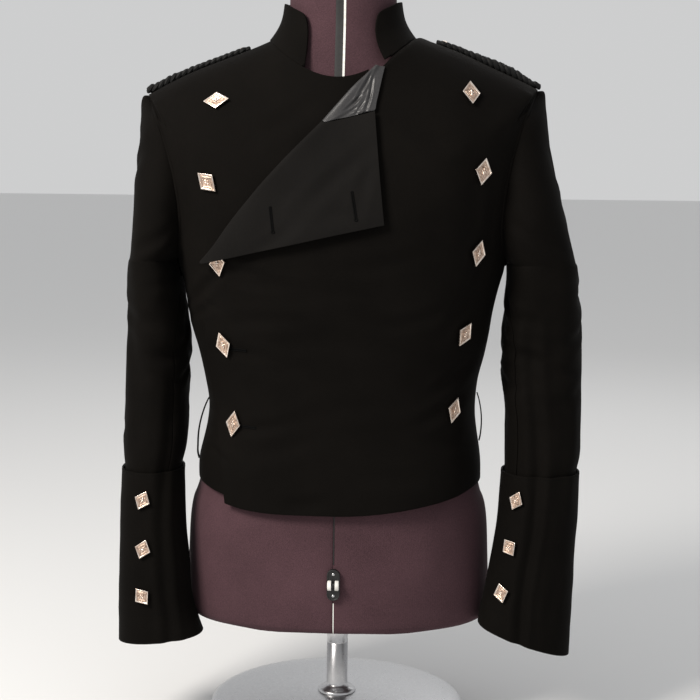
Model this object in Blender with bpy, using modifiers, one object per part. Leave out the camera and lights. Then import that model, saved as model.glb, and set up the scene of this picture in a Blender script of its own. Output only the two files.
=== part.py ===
# A waist-length black wool doublet, worn on a limbless dress form with a short stand.
# Metres, +Z up, the front faces -Y and the wearer's right is -X.
# The origin is the centre of the stand's underside.

import math
from collections import namedtuple

import bmesh
import bpy
from mathutils import Matrix, Vector
from mathutils.bvhtree import BVHTree

# Driving sizes of the form and its stand
FORM_LIFT = 0.120            # underside of the form above the table
BASE_RADIUS = 0.150
BASE_HEIGHT = 0.018
POLE_RADIUS = 0.0125
FLANGE_RADIUS = 0.042
NECK_TOP = 0.735             # top of the neck above the form's underside
FORM_CLEARANCE = 0.0070      # from the cloth's outer face to the form
FORM_SHOULDER = 0.1845       # half width of the form where an arm would start
GROOVE_DEPTH = 0.002         # slit between the form's two front halves

# Driving sizes of the garment
WALL = 0.0020                # wool with its lining
FACING_WALL = 0.0021
LINING_WALL = 0.0012
GAP = 0.0003                 # between pieces that touch
SEAM = 0.0009                # between the outer faces of two sewn panels
SLEEVE_SEAM = 0.0015         # the same where a sleeve's wall bends sharply
LAP = 0.0039                 # the top front lies this far above the one underneath
SHOULDER_TILT = 0.020        # the wearer's left shoulder stands higher
NECK_PLACE = 22              # the row of the neck seam in the ring table
COLLAR_END_RIGHT = -27.0     # degrees from the centre front, at the seam
COLLAR_END_LEFT = 36.0

# Buttons: half diagonals of the rhombic plates
FRONT_BUTTON = (0.0150, 0.0105)
CUFF_BUTTON = (0.0112, 0.0094)

COLOURS = {
    "wool": ((0.012, 0.012, 0.013), 0.85, 0.0),
    "satin": ((0.045, 0.045, 0.048), 0.38, 0.0),
    "cord": ((0.010, 0.010, 0.011), 0.70, 0.0),
    "button_metal": ((0.72, 0.62, 0.56), 0.28, 1.0),
    "jersey": ((0.145, 0.110, 0.125), 0.90, 0.0),
    "steel": ((0.55, 0.55, 0.56), 0.30, 1.0),
    "black_plastic": ((0.010, 0.010, 0.010), 0.40, 0.0),
    "dial_ivory": ((0.75, 0.73, 0.68), 0.45, 0.0),
}

# Rings of the doublet from the hem up to the neck seam. Heights are above the form's underside,
# side, front and back are the ring's half width and its reach forwards and backwards, square
# is how far it stands out at the four corners, and lean how far it is shifted sideways.
Ring = namedtuple("Ring", "z_front z_side z_back side front back square lean")
RINGS = [
    Ring(0.1385, 0.1640, 0.1520, 0.1655, 0.1215, 0.1180, 0.060, 0.0010),   # hem
    Ring(0.1630, 0.1850, 0.1760, 0.1650, 0.1205, 0.1140, 0.060, 0.0010),
    Ring(0.1920, 0.2070, 0.2020, 0.1605, 0.1180, 0.1075, 0.060, 0.0020),
    Ring(0.2260, 0.2320, 0.2300, 0.1565, 0.1155, 0.1010, 0.055, 0.0027),
    Ring(0.2520, 0.2540, 0.2540, 0.1560, 0.1145, 0.0990, 0.055, 0.0029),   # waist
    Ring(0.2820, 0.2800, 0.2820, 0.1595, 0.1150, 0.1010, 0.055, 0.0020),
    Ring(0.3120, 0.3080, 0.3100, 0.1660, 0.1165, 0.1055, 0.058, 0.0022),
    Ring(0.3400, 0.3360, 0.3380, 0.1727, 0.1190, 0.1105, 0.060, 0.0008),
    Ring(0.3680, 0.3640, 0.3660, 0.1780, 0.1215, 0.1145, 0.060, 0.0000),
    Ring(0.3960, 0.3920, 0.3940, 0.1835, 0.1240, 0.1170, 0.060, 0.0015),
    Ring(0.4120, 0.4120, 0.4150, 0.1890, 0.1250, 0.1180, 0.060, 0.0010),   # armpit
    Ring(0.4240, 0.4400, 0.4380, 0.1940, 0.1255, 0.1185, 0.060, 0.0000),
    Ring(0.4380, 0.4700, 0.4620, 0.2000, 0.1255, 0.1190, 0.060, 0.0000),
    Ring(0.4520, 0.5050, 0.4900, 0.2075, 0.1250, 0.1190, 0.060, 0.0000),
    Ring(0.4670, 0.5400, 0.5180, 0.2155, 0.1240, 0.1180, 0.060, 0.0000),
    Ring(0.4830, 0.5720, 0.5450, 0.2225, 0.1220, 0.1160, 0.058, 0.0000),
    Ring(0.4950, 0.5940, 0.5650, 0.2245, 0.1205, 0.1140, 0.055, 0.0000),
    Ring(0.5080, 0.6075, 0.5820, 0.2225, 0.1185, 0.1110, 0.050, 0.0000),   # shoulder's tip
    Ring(0.5300, 0.6200, 0.6000, 0.1980, 0.1140, 0.1050, 0.045, 0.0000),
    Ring(0.5550, 0.6345, 0.6200, 0.1660, 0.1075, 0.0950, 0.040, 0.0000),
    Ring(0.5820, 0.6475, 0.6430, 0.1300, 0.0995, 0.0800, 0.035, 0.0000),
    Ring(0.6040, 0.6585, 0.6610, 0.1000, 0.0940, 0.0660, 0.030, 0.0000),
    Ring(0.6200, 0.6655, 0.6720, 0.0830, 0.0900, 0.0560, 0.030, 0.0000),   # neck seam
]
TIP_PLACE = 17
ARMPIT_PLACE = 10

# Half width of the doublet at the armhole seams, by height
Armhole = namedtuple("Armhole", "z front_right front_left back")
ARMHOLE = [
    Armhole(0.400, 0.2100, 0.2100, 0.2100),
    Armhole(0.415, 0.1895, 0.1900, 0.1915),
    Armhole(0.425, 0.1825, 0.1850, 0.1895),
    Armhole(0.440, 0.1785, 0.1825, 0.1893),
    Armhole(0.470, 0.1775, 0.1825, 0.1915),
    Armhole(0.505, 0.1815, 0.1865, 0.1955),
    Armhole(0.535, 0.1890, 0.1930, 0.2010),
    Armhole(0.567, 0.2000, 0.2025, 0.2085),
    Armhole(0.587, 0.2098, 0.2110, 0.2145),
    Armhole(0.597, 0.2160, 0.2165, 0.2180),
    Armhole(0.6075, 0.2228, 0.2228, 0.2228),
    Armhole(0.620, 0.2300, 0.2300, 0.2300),
]

# Front edge of each front, by height: the upper rows of the top front are its fold line
Edge = namedtuple("Edge", "z x")
TOP_FRONT_EDGE = [
    Edge(0.130, -0.1190),
    Edge(0.190, -0.1265),
    Edge(0.222, -0.1315),
    Edge(0.265, -0.1390),
    Edge(0.325, -0.1455),
    Edge(0.372, -0.1465),
    Edge(0.408, -0.1460),
    Edge(0.4178, -0.1390),
    Edge(0.4313, -0.1275),
    Edge(0.4637, -0.1070),
    Edge(0.5009, -0.0775),
    Edge(0.5323, -0.0485),
    Edge(0.5669, -0.0140),
    Edge(0.6000, 0.0135),
    Edge(0.6330, 0.0430),
    Edge(0.6500, 0.0580),
]
UNDER_FRONT_EDGE = [
    Edge(0.130, 0.1100),
    Edge(0.420, 0.1220),
    Edge(0.500, 0.1060),
    Edge(0.560, 0.0820),
    Edge(0.583, 0.0600),
    Edge(0.603, 0.0330),
    Edge(0.625, 0.0325),
    Edge(0.660, 0.0325),
]
FOLD_BOTTOM = 0.4178         # height where the fold line leaves the front edge
LINING_START = 0.5669        # the facing ends and the lining starts here on the fold line
FOLD_TOP = 0.6290

# Soft folds of the body, seen from the front or from the back: place, direction from the level in
# degrees, half length, half width, and depth, which is negative for a ridge
Fold = namedtuple("Fold", "x z turn length width depth")
FRONT_FOLDS = [
    Fold(-0.128, 0.372, 8, 0.038, 0.011, 0.0022),
    Fold(-0.118, 0.350, 4, 0.045, 0.012, -0.0012),
    Fold(-0.120, 0.300, -16, 0.050, 0.014, 0.0014),
    Fold(-0.020, 0.330, 3, 0.090, 0.013, 0.0012),
    Fold(0.010, 0.382, -4, 0.080, 0.014, 0.0010),
    Fold(-0.035, 0.168, 5, 0.045, 0.012, 0.0016),
    Fold(0.120, 0.300, 24, 0.050, 0.014, 0.0018),
    Fold(0.138, 0.372, 58, 0.050, 0.013, 0.0022),
    Fold(0.096, 0.238, 12, 0.046, 0.013, 0.0012),
    Fold(-0.150, 0.235, 30, 0.030, 0.012, 0.0014),
]
BACK_FOLDS = [
    Fold(0.000, 0.250, 0, 0.080, 0.016, 0.0022),
    Fold(0.095, 0.290, 26, 0.060, 0.015, 0.0018),
    Fold(-0.100, 0.300, -22, 0.058, 0.015, 0.0020),
    Fold(0.135, 0.440, 70, 0.070, 0.016, 0.0024),
    Fold(-0.138, 0.452, -72, 0.064, 0.016, 0.0024),
    Fold(0.010, 0.640, 0, 0.070, 0.012, 0.0014),
]

# Sleeves. The head's rows run from the shoulder's tip down to the armpit: fall is the share of
# that height, outer is the sleeve's half width there from the centre of the body, reach is its
# half depth, sweep how far round the arc runs, in degrees from the outer side to the armhole
# seam, puff how far the row's middle stands up over the seam, and square how far its corners
# stand out.
Head = namedtuple("Head", "fall outer reach sweep puff square")
HEAD_RIGHT = [
    Head(0.007, 0.2262, 0.0055, 90, 0.0000, 0.000),
    Head(0.013, 0.2284, 0.009, 90, 0.0012, 0.000),
    Head(0.030, 0.2312, 0.016, 90, 0.0020, 0.000),
    Head(0.078, 0.2330, 0.031, 92, 0.0012, 0.000),
    Head(0.165, 0.2308, 0.045, 96, 0.0000, 0.000),
    Head(0.290, 0.2322, 0.056, 103, 0.0000, 0.005),
    Head(0.430, 0.2352, 0.064, 111, 0.0000, 0.015),
    Head(0.580, 0.2366, 0.069, 121, 0.0000, 0.030),
    Head(0.725, 0.2376, 0.0705, 133, 0.0000, 0.050),
    Head(0.850, 0.2388, 0.0705, 147, 0.0000, 0.070),
    Head(0.945, 0.2405, 0.0695, 161, 0.0000, 0.090),
    Head(0.984, 0.2415, 0.0690, 170, 0.0000, 0.100),
]
HEAD_LEFT = [
    Head(0.008, 0.2264, 0.0055, 90, 0.0000, 0.000),
    Head(0.013, 0.2284, 0.009, 90, 0.0012, 0.000),
    Head(0.030, 0.2312, 0.016, 90, 0.0020, 0.000),
    Head(0.078, 0.2325, 0.031, 92, 0.0004, 0.000),
    Head(0.165, 0.2338, 0.045, 96, 0.0000, 0.000),
    Head(0.290, 0.2365, 0.056, 103, 0.0000, 0.005),
    Head(0.430, 0.2420, 0.064, 111, 0.0000, 0.015),
    Head(0.580, 0.2496, 0.069, 121, 0.0000, 0.030),
    Head(0.725, 0.2572, 0.0705, 133, 0.0000, 0.050),
    Head(0.850, 0.2634, 0.0705, 147, 0.0000, 0.070),
    Head(0.945, 0.2678, 0.0695, 161, 0.0000, 0.090),
    Head(0.984, 0.2695, 0.0690, 170, 0.0000, 0.100),
]

# Below the armpit each row is an oval: distance of its middle from the centre of the body, its
# place forwards or backwards, its half width and half depth, and how far its corners stand out
Oval = namedtuple("Oval", "z x y width depth square")
SLEEVE_RIGHT = [
    Oval(0.395, 0.2142, -0.0115, 0.0293, 0.0680, 0.100),
    Oval(0.365, 0.2134, -0.0110, 0.0318, 0.0655, 0.070),
    Oval(0.335, 0.2108, -0.0120, 0.0355, 0.0620, 0.050),
    Oval(0.300, 0.2108, -0.0140, 0.0370, 0.0590, 0.030),
    Oval(0.260, 0.2114, -0.0190, 0.0370, 0.0560, 0.030),
    Oval(0.220, 0.2122, -0.0255, 0.0366, 0.0535, 0.030),
    Oval(0.192, 0.2136, -0.0310, 0.0354, 0.0508, 0.030),
    Oval(0.176, 0.2144, -0.0335, 0.0322, 0.0472, 0.030),
    Oval(0.150, 0.2142, -0.0375, 0.0318, 0.0464, 0.030),
]
SLEEVE_LEFT = [
    Oval(0.395, 0.2328, -0.0100, 0.0405, 0.0665, 0.100),
    Oval(0.365, 0.2330, -0.0100, 0.0435, 0.0640, 0.070),
    Oval(0.335, 0.2333, -0.0115, 0.0458, 0.0600, 0.050),
    Oval(0.300, 0.2336, -0.0135, 0.0465, 0.0560, 0.030),
    Oval(0.260, 0.2344, -0.0185, 0.0453, 0.0532, 0.030),
    Oval(0.228, 0.2358, -0.0235, 0.0437, 0.0510, 0.030),
    Oval(0.197, 0.2354, -0.0290, 0.0434, 0.0492, 0.030),
    Oval(0.179, 0.2340, -0.0320, 0.0410, 0.0455, 0.030),
    Oval(0.152, 0.2332, -0.0360, 0.0405, 0.0447, 0.030),
]
CUFF_RIGHT = [
    Oval(0.1750, 0.2146, -0.0335, 0.0360, 0.0510, 0.030),
    Oval(0.1480, 0.2142, -0.0390, 0.0364, 0.0505, 0.030),
    Oval(0.1150, 0.2128, -0.0470, 0.0376, 0.0490, 0.030),
    Oval(0.0740, 0.2101, -0.0565, 0.0398, 0.0472, 0.030),
    Oval(0.0380, 0.2085, -0.0640, 0.0411, 0.0455, 0.030),
    Oval(0.0180, 0.2063, -0.0675, 0.0430, 0.0440, 0.030),
    Oval(0.0005, 0.2036, -0.0695, 0.0455, 0.0430, 0.030),
    Oval(-0.0150, 0.2005, -0.0705, 0.0486, 0.0420, 0.030),
]
CUFF_LEFT = [
    Oval(0.1780, 0.2336, -0.0325, 0.0450, 0.0496, 0.030),
    Oval(0.1500, 0.2325, -0.0378, 0.0452, 0.0488, 0.030),
    Oval(0.1200, 0.2304, -0.0440, 0.0457, 0.0478, 0.030),
    Oval(0.0900, 0.2270, -0.0505, 0.0470, 0.0466, 0.030),
    Oval(0.0600, 0.2240, -0.0565, 0.0485, 0.0452, 0.030),
    Oval(0.0300, 0.2208, -0.0615, 0.0501, 0.0438, 0.030),
    Oval(0.0075, 0.2180, -0.0645, 0.0518, 0.0426, 0.030),
    Oval(-0.0105, 0.2165, -0.0660, 0.0524, 0.0416, 0.030),
]
CUFF_SLOPE_RIGHT = -0.10     # rise of the cuff's hem for each metre outwards
CUFF_SLOPE_LEFT = -0.32

# Creases of a sleeve: height, place round it in degrees from the outer side towards the front,
# rise in metres for each 90 degrees, half height, half width in degrees, depth
Crease = namedtuple("Crease", "z turn rise height spread depth")
CREASES_RIGHT = [
    Crease(0.300, 120, 0.030, 0.014, 55, 0.0030),
    Crease(0.335, 60, -0.040, 0.013, 50, 0.0022),
    Crease(0.262, 150, 0.030, 0.013, 50, 0.0026),
    Crease(0.240, -110, -0.030, 0.015, 55, 0.0028),
    Crease(0.480, -20, 0.020, 0.050, 14, 0.0016),
    Crease(0.330, 78, 0.000, 0.160, 12, 0.0018),
    Crease(0.205, 40, 0.020, 0.012, 50, 0.0014),
]
CREASES_LEFT = [
    Crease(0.250, 170, 0.030, 0.016, 55, 0.0034),
    Crease(0.300, 110, -0.030, 0.013, 50, 0.0022),
    Crease(0.360, 70, 0.040, 0.015, 45, 0.0024),
    Crease(0.236, -110, -0.030, 0.015, 55, 0.0028),
    Crease(0.300, 76, 0.000, 0.170, 13, 0.0034),
    Crease(0.470, 20, 0.020, 0.055, 15, 0.0018),
    Crease(0.200, 120, 0.020, 0.012, 50, 0.0016),
]

# Lower part of the form, below the hem, and its neck
Slice = namedtuple("Slice", "z side front back square")
FORM_HIPS = [
    Slice(0.0000, 0.1660, 0.1050, 0.1060, 0.030),
    Slice(0.0015, 0.1735, 0.1118, 0.1130, 0.030),
    Slice(0.0060, 0.1770, 0.1150, 0.1165, 0.030),
    Slice(0.0140, 0.1785, 0.1165, 0.1185, 0.030),
    Slice(0.0450, 0.1778, 0.1168, 0.1205, 0.030),
    Slice(0.0800, 0.1765, 0.1168, 0.1205, 0.030),
    Slice(0.1080, 0.1752, 0.1166, 0.1185, 0.030),
    Slice(0.1280, 0.1728, 0.1162, 0.1160, 0.030),
    Slice(0.1400, 0.1695, 0.1155, 0.1135, 0.030),
    Slice(0.1500, 0.1655, 0.1150, 0.1115, 0.030),
]
FORM_NECK = [
    Slice(0.6550, 0.0700, 0.0730, 0.0540, 0.020),
    Slice(0.6750, 0.0625, 0.0625, 0.0475, 0.020),
    Slice(0.6950, 0.0610, 0.0580, 0.0455, 0.020),
    Slice(NECK_TOP, 0.0605, 0.0560, 0.0450, 0.020),
]

# Buttons: distance from the centre of the body, height, turn of the long diagonal in degrees
# from upright towards the viewer's right
Button = namedtuple("Button", "x z turn")
BUTTONS_RIGHT = [
    Button(-0.1346, 0.5920, 83),
    Button(-0.1412, 0.5043, -48),
    Button(-0.1292, 0.4165, -8),
    Button(-0.1236, 0.3252, -13),
    Button(-0.1125, 0.2352, 6),
]
BUTTONS_LEFT = [
    Button(0.1438, 0.6028, 7),
    Button(0.1576, 0.5190, 10),
    Button(0.1538, 0.4298, 11),
    Button(0.1404, 0.3397, 32),
    Button(0.1303, 0.2532, 20),
]
CUFF_BUTTONS_RIGHT = [
    Button(-0.2172, 0.1450, 22),
    Button(-0.2152, 0.0911, 17),
    Button(-0.2148, 0.0392, -40),
]
CUFF_BUTTONS_LEFT = [
    Button(0.2058, 0.1505, 18),
    Button(0.1988, 0.0985, -41),
    Button(0.1902, 0.0480, -20),
]


def ease(value):
    """Rises smoothly from 0 to 1 as value goes from 0 to 1."""
    value = min(max(value, 0.0), 1.0)
    return value * value * (3.0 - 2.0 * value)


def between(table, key, column, value):
    """Value of a column where the key column has the given value, by straight lines."""
    rows = [(getattr(row, key), getattr(row, column)) for row in table]
    rows.sort()
    if value <= rows[0][0]:
        return rows[0][1]
    for (low, first), (high, second) in zip(rows, rows[1:]):
        if value <= high:
            return first + (second - first) * (value - low) / (high - low)
    return rows[-1][1]


def smooth_row(table, place):
    """A row between the rows of a table, on a smooth curve through them."""
    index = min(int(place), len(table) - 2)
    part = place - index
    before = table[max(index - 1, 0)]
    after = table[min(index + 2, len(table) - 1)]
    values = []
    for a, b, c, d in zip(before, table[index], table[index + 1], after):
        bend = (2 * a - 5 * b + 4 * c - d) * part ** 2 + (3 * b - 3 * c + d - a) * part ** 3
        values.append(b + 0.5 * ((c - a) * part + bend))
    return type(table[0])(*values)


def solve(function, low, high, steps=26):
    """Where a rising function crosses zero."""
    for _ in range(steps):
        middle = 0.5 * (low + high)
        if function(middle) > 0.0:
            high = middle
        else:
            low = middle
    return 0.5 * (low + high)


# The surface of the doublet

def fold_depth(folds, x, z):
    """How far the soft folds press the cloth in at a place."""
    depth = 0.0
    for fold in folds:
        turn = math.radians(fold.turn)
        along = (x - fold.x) * math.cos(turn) + (z - fold.z) * math.sin(turn)
        across = (z - fold.z) * math.cos(turn) - (x - fold.x) * math.sin(turn)
        depth += fold.depth * math.exp(-(along / fold.length) ** 2 - (across / fold.width) ** 2)
    return depth


def ring_point(ring, angle):
    """A point of a ring, at an angle from the centre front; +90 degrees is the wearer's left."""
    sine, cosine = math.sin(angle), math.cos(angle)
    swell = 1.0 + ring.square * math.sin(2.0 * angle) ** 2
    reach = ring.front if cosine >= 0.0 else ring.back
    end = ring.z_front if cosine >= 0.0 else ring.z_back
    x = ring.side * sine * swell + ring.lean
    y = -reach * cosine * swell
    z = ring.z_side + (end - ring.z_side) * abs(cosine) ** 2.4
    z += SHOULDER_TILT * x * ease((z - 0.40) / 0.20)
    return Vector((x, y, z))


def jacket_point(place, angle):
    """The doublet's outer face at a place up the ring table and an angle round it."""
    ring = smooth_row(RINGS, place)
    point = ring_point(ring, angle)
    in_front = math.cos(angle) >= 0.0
    reach = ring.front if in_front else ring.back
    outward = Vector((point.x / ring.side ** 2, point.y / reach ** 2, 0.0)).normalized()
    depth = fold_depth(FRONT_FOLDS if in_front else BACK_FOLDS, point.x, point.z)
    return point - outward * depth * ease(abs(math.cos(angle)) / 0.35)


def jacket_normal(place, angle):
    """Outward direction of the doublet's outer face."""
    step = 0.02
    low, high = max(place - step, 0.0), min(place + step, len(RINGS) - 1)
    up = jacket_point(high, angle) - jacket_point(low, angle)
    across = jacket_point(place, angle + step) - jacket_point(place, angle - step)
    return across.cross(up).normalized()


def lifted(place, angle, lift):
    """A point above the doublet's outer face."""
    return jacket_point(place, angle) + jacket_normal(place, angle) * lift


def lap_lift(place, x):
    """How far the top front lies out, over the front underneath."""
    return LAP * ease((0.154 - x) / 0.026) * ease((NECK_PLACE - place) / 0.4)


def angle_at_x(place, x):
    """Angle in the front half of a ring where it has the given x."""
    return solve(lambda angle: jacket_point(place, angle).x - x, -math.pi / 2, math.pi / 2)


def front_place(x, z):
    """Place and angle of the front point that is seen at x and z."""
    place = solve(lambda row: jacket_point(row, angle_at_x(row, x)).z - z, 0.0, NECK_PLACE, 18)
    return place, angle_at_x(place, x)


def armhole_angle(place, side, face):
    """Angle, from the centre front or back, where a ring meets the armhole or the side seam."""
    full = math.pi / 2
    ring = smooth_row(RINGS, place)

    column = face if face == "back" else ("front_right" if side < 0 else "front_left")

    def over(angle):
        point = ring_point(ring, side * (angle if face == "front" else math.pi - angle))
        height = point.z - SHOULDER_TILT * point.x * ease((point.z - 0.40) / 0.20)
        return abs(point.x) - between(ARMHOLE, "z", column, height)

    if over(full) <= 0.0:
        return full - 0.5 * SEAM / (ring.front if face == "front" else ring.back)
    return solve(over, math.radians(30), full) - GAP / ring.side


def side_angle(place, side, face):
    """The same angle counted from the centre front, for the side where side is -1 or 1."""
    angle = armhole_angle(place, side, face)
    return side * (angle if face == "front" else math.pi - angle)


# Building helpers

def new_material(name):
    """A Principled material from the colour table."""
    colour, roughness, metallic = COLOURS[name]
    material = bpy.data.materials.new(name)
    material.use_nodes = True
    shader = material.node_tree.nodes["Principled BSDF"]
    shader.inputs["Base Color"].default_value = (*colour, 1.0)
    shader.inputs["Roughness"].default_value = roughness
    shader.inputs["Metallic"].default_value = metallic
    material.diffuse_color = (*colour, 1.0)
    return material


def add_object(name, mesh, material, collection):
    """Puts a mesh in the scene as a named piece."""
    mesh.name = name
    mesh.materials.append(material)
    mesh.shade_smooth()
    mesh.set_sharp_from_angle(angle=math.radians(38))
    piece = bpy.data.objects.new(name, mesh)
    collection.objects.link(piece)
    return piece


def skin(rows, closed=False, split=False):
    """Faces between rows of points; closed joins each row's end to its start."""
    count = len(rows[0])
    points = [point for row in rows for point in row]
    faces = []
    for row in range(len(rows) - 1):
        for column in range(count if closed else count - 1):
            right = (column + 1) % count
            low, high = row * count, (row + 1) * count
            corners = low + column, low + right, high + right, high + column
            if split:
                first = points[corners[0]] - points[corners[2]]
                second = points[corners[1]] - points[corners[3]]
                if first.length > second.length:
                    corners = corners[1:] + corners[:1]
                faces.append((corners[0], corners[1], corners[2]))
                faces.append((corners[0], corners[2], corners[3]))
            else:
                faces.append(corners)
    return points, faces


def cloth(name, rows, material, collection, wall=WALL, closed=False):
    """A cloth wall: an open surface through the rows, thickened inwards."""
    points, faces = skin(rows, closed, split=True)
    mesh = bpy.data.meshes.new(name)
    mesh.from_pydata([(x, y, z + FORM_LIFT) for x, y, z in points], [], faces)
    piece = add_object(name, mesh, material, collection)
    thickness = piece.modifiers.new("Wall", "SOLIDIFY")
    thickness.thickness = wall
    thickness.offset = -1.0
    return piece


def loft(name, rings, material, collection):
    """A closed solid through rings of equal count, with flat ends."""
    points, faces = skin(rings, closed=True)
    count = len(rings[0])
    faces.append(tuple(reversed(range(count))))
    faces.append(tuple(range(len(points) - count, len(points))))
    mesh = bpy.data.meshes.new(name)
    mesh.from_pydata([(x, y, z + FORM_LIFT) for x, y, z in points], [], faces)
    shape = bmesh.new()
    shape.from_mesh(mesh)
    bmesh.ops.recalc_face_normals(shape, faces=shape.faces)
    shape.to_mesh(mesh)
    shape.free()
    return add_object(name, mesh, material, collection)


def turned(name, profile, material, collection, steps=32):
    """A turned solid: a profile of radius and height, from its top down, with a Screw modifier."""
    mesh = bpy.data.meshes.new(name)
    edges = [(index, index + 1) for index in range(len(profile) - 1)]
    mesh.from_pydata([(radius, 0.0, height) for radius, height in profile], edges, [])
    piece = add_object(name, mesh, material, collection)
    screw = piece.modifiers.new("Turn", "SCREW")
    screw.steps = steps
    screw.render_steps = steps
    screw.use_merge_vertices = True
    screw.merge_threshold = 0.00005
    screw.use_smooth_shade = True
    return piece


def spaced(first, last, count):
    """Evenly spaced values from first to last."""
    return [first + (last - first) * index / (count - 1) for index in range(count)]


# Body panels

def panel_places(first=0.0, last=float(NECK_PLACE)):
    """Places of the rows of a body panel: closer where the shoulder bends."""
    places = spaced(0.0, 9.0, 10) + [10.0, 10.6, 11.3] + spaced(12.0, 17.0, 6)
    places += [18.0, 19.0, 20.0, 21.0, 21.6, 22.0]
    return [place for place in places if first <= place <= last]


FOLD_GAP = 0.0064            # from the fold's outside to the edge of the cloth under it


def toward_armhole(centre, end, full, count):
    """Angles from a panel's centre edge to its armhole, which bends only the columns near it."""
    cut = abs(full - end)
    span = abs(full - centre)
    power = 1.0 if cut < 0.001 else min(max(0.75 * span / cut, 1.0), 2.6)
    angles = []
    for share in spaced(0.0, 1.0, count):
        angles.append(centre + (full - centre) * share - (full - end) * share ** power)
    return angles


def hem_shift(point, centre, corner):
    """Moves a front's hem up or down, fading out above it."""
    share = ease((0.205 - point.z) / 0.065)
    side = ease((-point.x - 0.01) / 0.11)
    return (centre * (1.0 - ease(abs(point.x) / 0.13)) + corner * side) * share


def build_fronts(material, collection):
    """The two fronts: the wearer's right lies under, the wearer's left on top."""
    rows = []
    for place in panel_places():
        ring = smooth_row(RINGS, place)
        start = side_angle(place, -1, "front")

        def past_edge(angle):
            point = ring_point(ring, angle)
            return point.x - between(UNDER_FRONT_EDGE, "z", "x", point.z)

        end = solve(past_edge, math.radians(-20), math.radians(80))
        angles = toward_armhole(end, start, -math.pi / 2, 16)[::-1]
        row = [jacket_point(place, angle) for angle in angles]
        for point in row:
            point.z += hem_shift(point, 0.006, 0.0)
        rows.append(row)
    under = cloth("front_right", rows, material, collection)

    rows = []
    for place in panel_places():
        ring = smooth_row(RINGS, place)

        def past_fold(angle):
            point = ring_point(ring, angle)
            edge = between(TOP_FRONT_EDGE, "z", "x", point.z)
            return point.x - edge - FOLD_GAP * ease((point.z - 0.405) / 0.015)

        start = solve(past_fold, math.radians(-85), math.radians(70))
        row = []
        for angle in toward_armhole(start, side_angle(place, 1, "front"), math.pi / 2, 18):
            lift = lap_lift(place, jacket_point(place, angle).x)
            row.append(lifted(place, angle, lift))
        for point in row:
            point.z += hem_shift(point, 0.0, -0.009)
        rows.append(row)
    return [under, cloth("front_left", rows, material, collection)]


def build_backs(material, collection):
    """The back in two halves, with a seam down its centre."""
    halves = []
    for name, side in (("back_right", -1), ("back_left", 1)):
        rows = []
        for place in panel_places():
            ring = smooth_row(RINGS, place)
            centre = side * (math.pi - 0.5 * SEAM / ring.side)
            angles = toward_armhole(centre, side_angle(place, side, "back"), side * math.pi / 2, 9)
            if side > 0:
                angles.reverse()
            rows.append([jacket_point(place, angle) for angle in angles])
        halves.append(cloth(name, rows, material, collection))
    return halves


# The turned-back front

def fold_direction(z):
    """Direction across the fold line, into the turned-back part, as seen from the front."""
    low, high = z - 0.02, z + 0.02
    run = between(TOP_FRONT_EDGE, "z", "x", high) - between(TOP_FRONT_EDGE, "z", "x", low)
    length = math.hypot(run, high - low)
    return (high - low) / length, -run / length


ROLL = [(0.0030, 0.00), (0.0, 0.00), (-0.0028, 0.16), (-0.0040, 0.50), (-0.0030, 0.86), (0.0, 1.0)]


def turned_row(z_fold, right_x, right_z, height, lifts, under=0.0010, roll=1.0):
    """One row of the turned-back part: round the roll of the fold, then over the chest."""
    fold_x = between(TOP_FRONT_EDGE, "z", "x", z_fold)
    across_x, across_z = fold_direction(z_fold)
    row = []
    for shift, share in ROLL:
        out = roll * shift
        place, angle = front_place(fold_x + across_x * out, z_fold + across_z * out)
        row.append(lifted(place, angle, under + (height - under) * share))
    for share, lift in lifts:
        x = fold_x + (right_x - fold_x) * share
        z = z_fold + (right_z - z_fold) * share
        place, angle = front_place(x, z)
        row.append(lifted(place, angle, lift))
    return row


def build_facing(material, collection):
    """The wool facing of the turned-back front, from its top edge down to its free lower edge."""
    rows = []
    for part in spaced(0.0, 1.0, 12):
        z_fold = LINING_START - GAP - (LINING_START - FOLD_BOTTOM) * part
        right_z = 0.5796 - (0.5796 - 0.4600) * part
        right_x = 0.0400 + 0.0118 * part
        height = 0.0096 + 0.0070 * ease((part - 0.45) / 0.45)
        under = 0.0010 + 0.0090 * ease((part - 0.78) / 0.16)
        rest = 0.0079 + 0.0014 * ease((part - 0.2) / 0.8)
        lifts = []
        for share in (0.05, 0.11, 0.19, 0.29, 0.40, 0.52, 0.64, 0.76, 0.88, 0.96, 1.0):
            lift = rest + (height - rest) * (1.0 - ease(share / 0.34))
            lift += 0.0042 * ease((part - 0.50) / 0.50) * math.sin(math.pi * share) ** 0.7
            lift += 0.0022 * share ** 3 + 0.0012 * math.sin(7.0 * share + 5.0 * part) * share * (1.0 - share)
            lifts.append((share, lift))
        rows.append(turned_row(z_fold, right_x, right_z, height, lifts, under))
    cloth("front_facing", rows[::-1], material, collection, wall=FACING_WALL)


def build_lapel_lining(material, collection):
    """The crumpled triangle of satin lining above the facing."""
    rows = []
    for part in spaced(0.0, 1.0, 8):
        z_fold = LINING_START + 2.0 * GAP + (FOLD_TOP - LINING_START) * part
        right_z = 0.5812 + (0.6290 - 0.5812) * part
        right_x = 0.0398 + 0.0087 * part
        height = 0.0096 - 0.0014 * part
        lifts = []
        for share in (0.10, 0.24, 0.40, 0.56, 0.72, 0.87, 1.0):
            crumple = math.sin(9.0 * share + 4.0 * part) * math.sin(5.0 * part + 1.2)
            lift = height - 0.0016 * ease(share / 0.5)
            lift += 0.0012 * crumple * math.sin(math.pi * min(share, 0.98)) * (1.0 - part)
            lifts.append((share, lift))
        roll = 1.0 - 0.45 * ease((part - 0.6) / 0.4)
        rows.append(turned_row(z_fold, right_x, right_z, height, lifts, roll=roll))
    cloth("lapel_lining", rows, material, collection, wall=LINING_WALL)


# The collar

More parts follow.
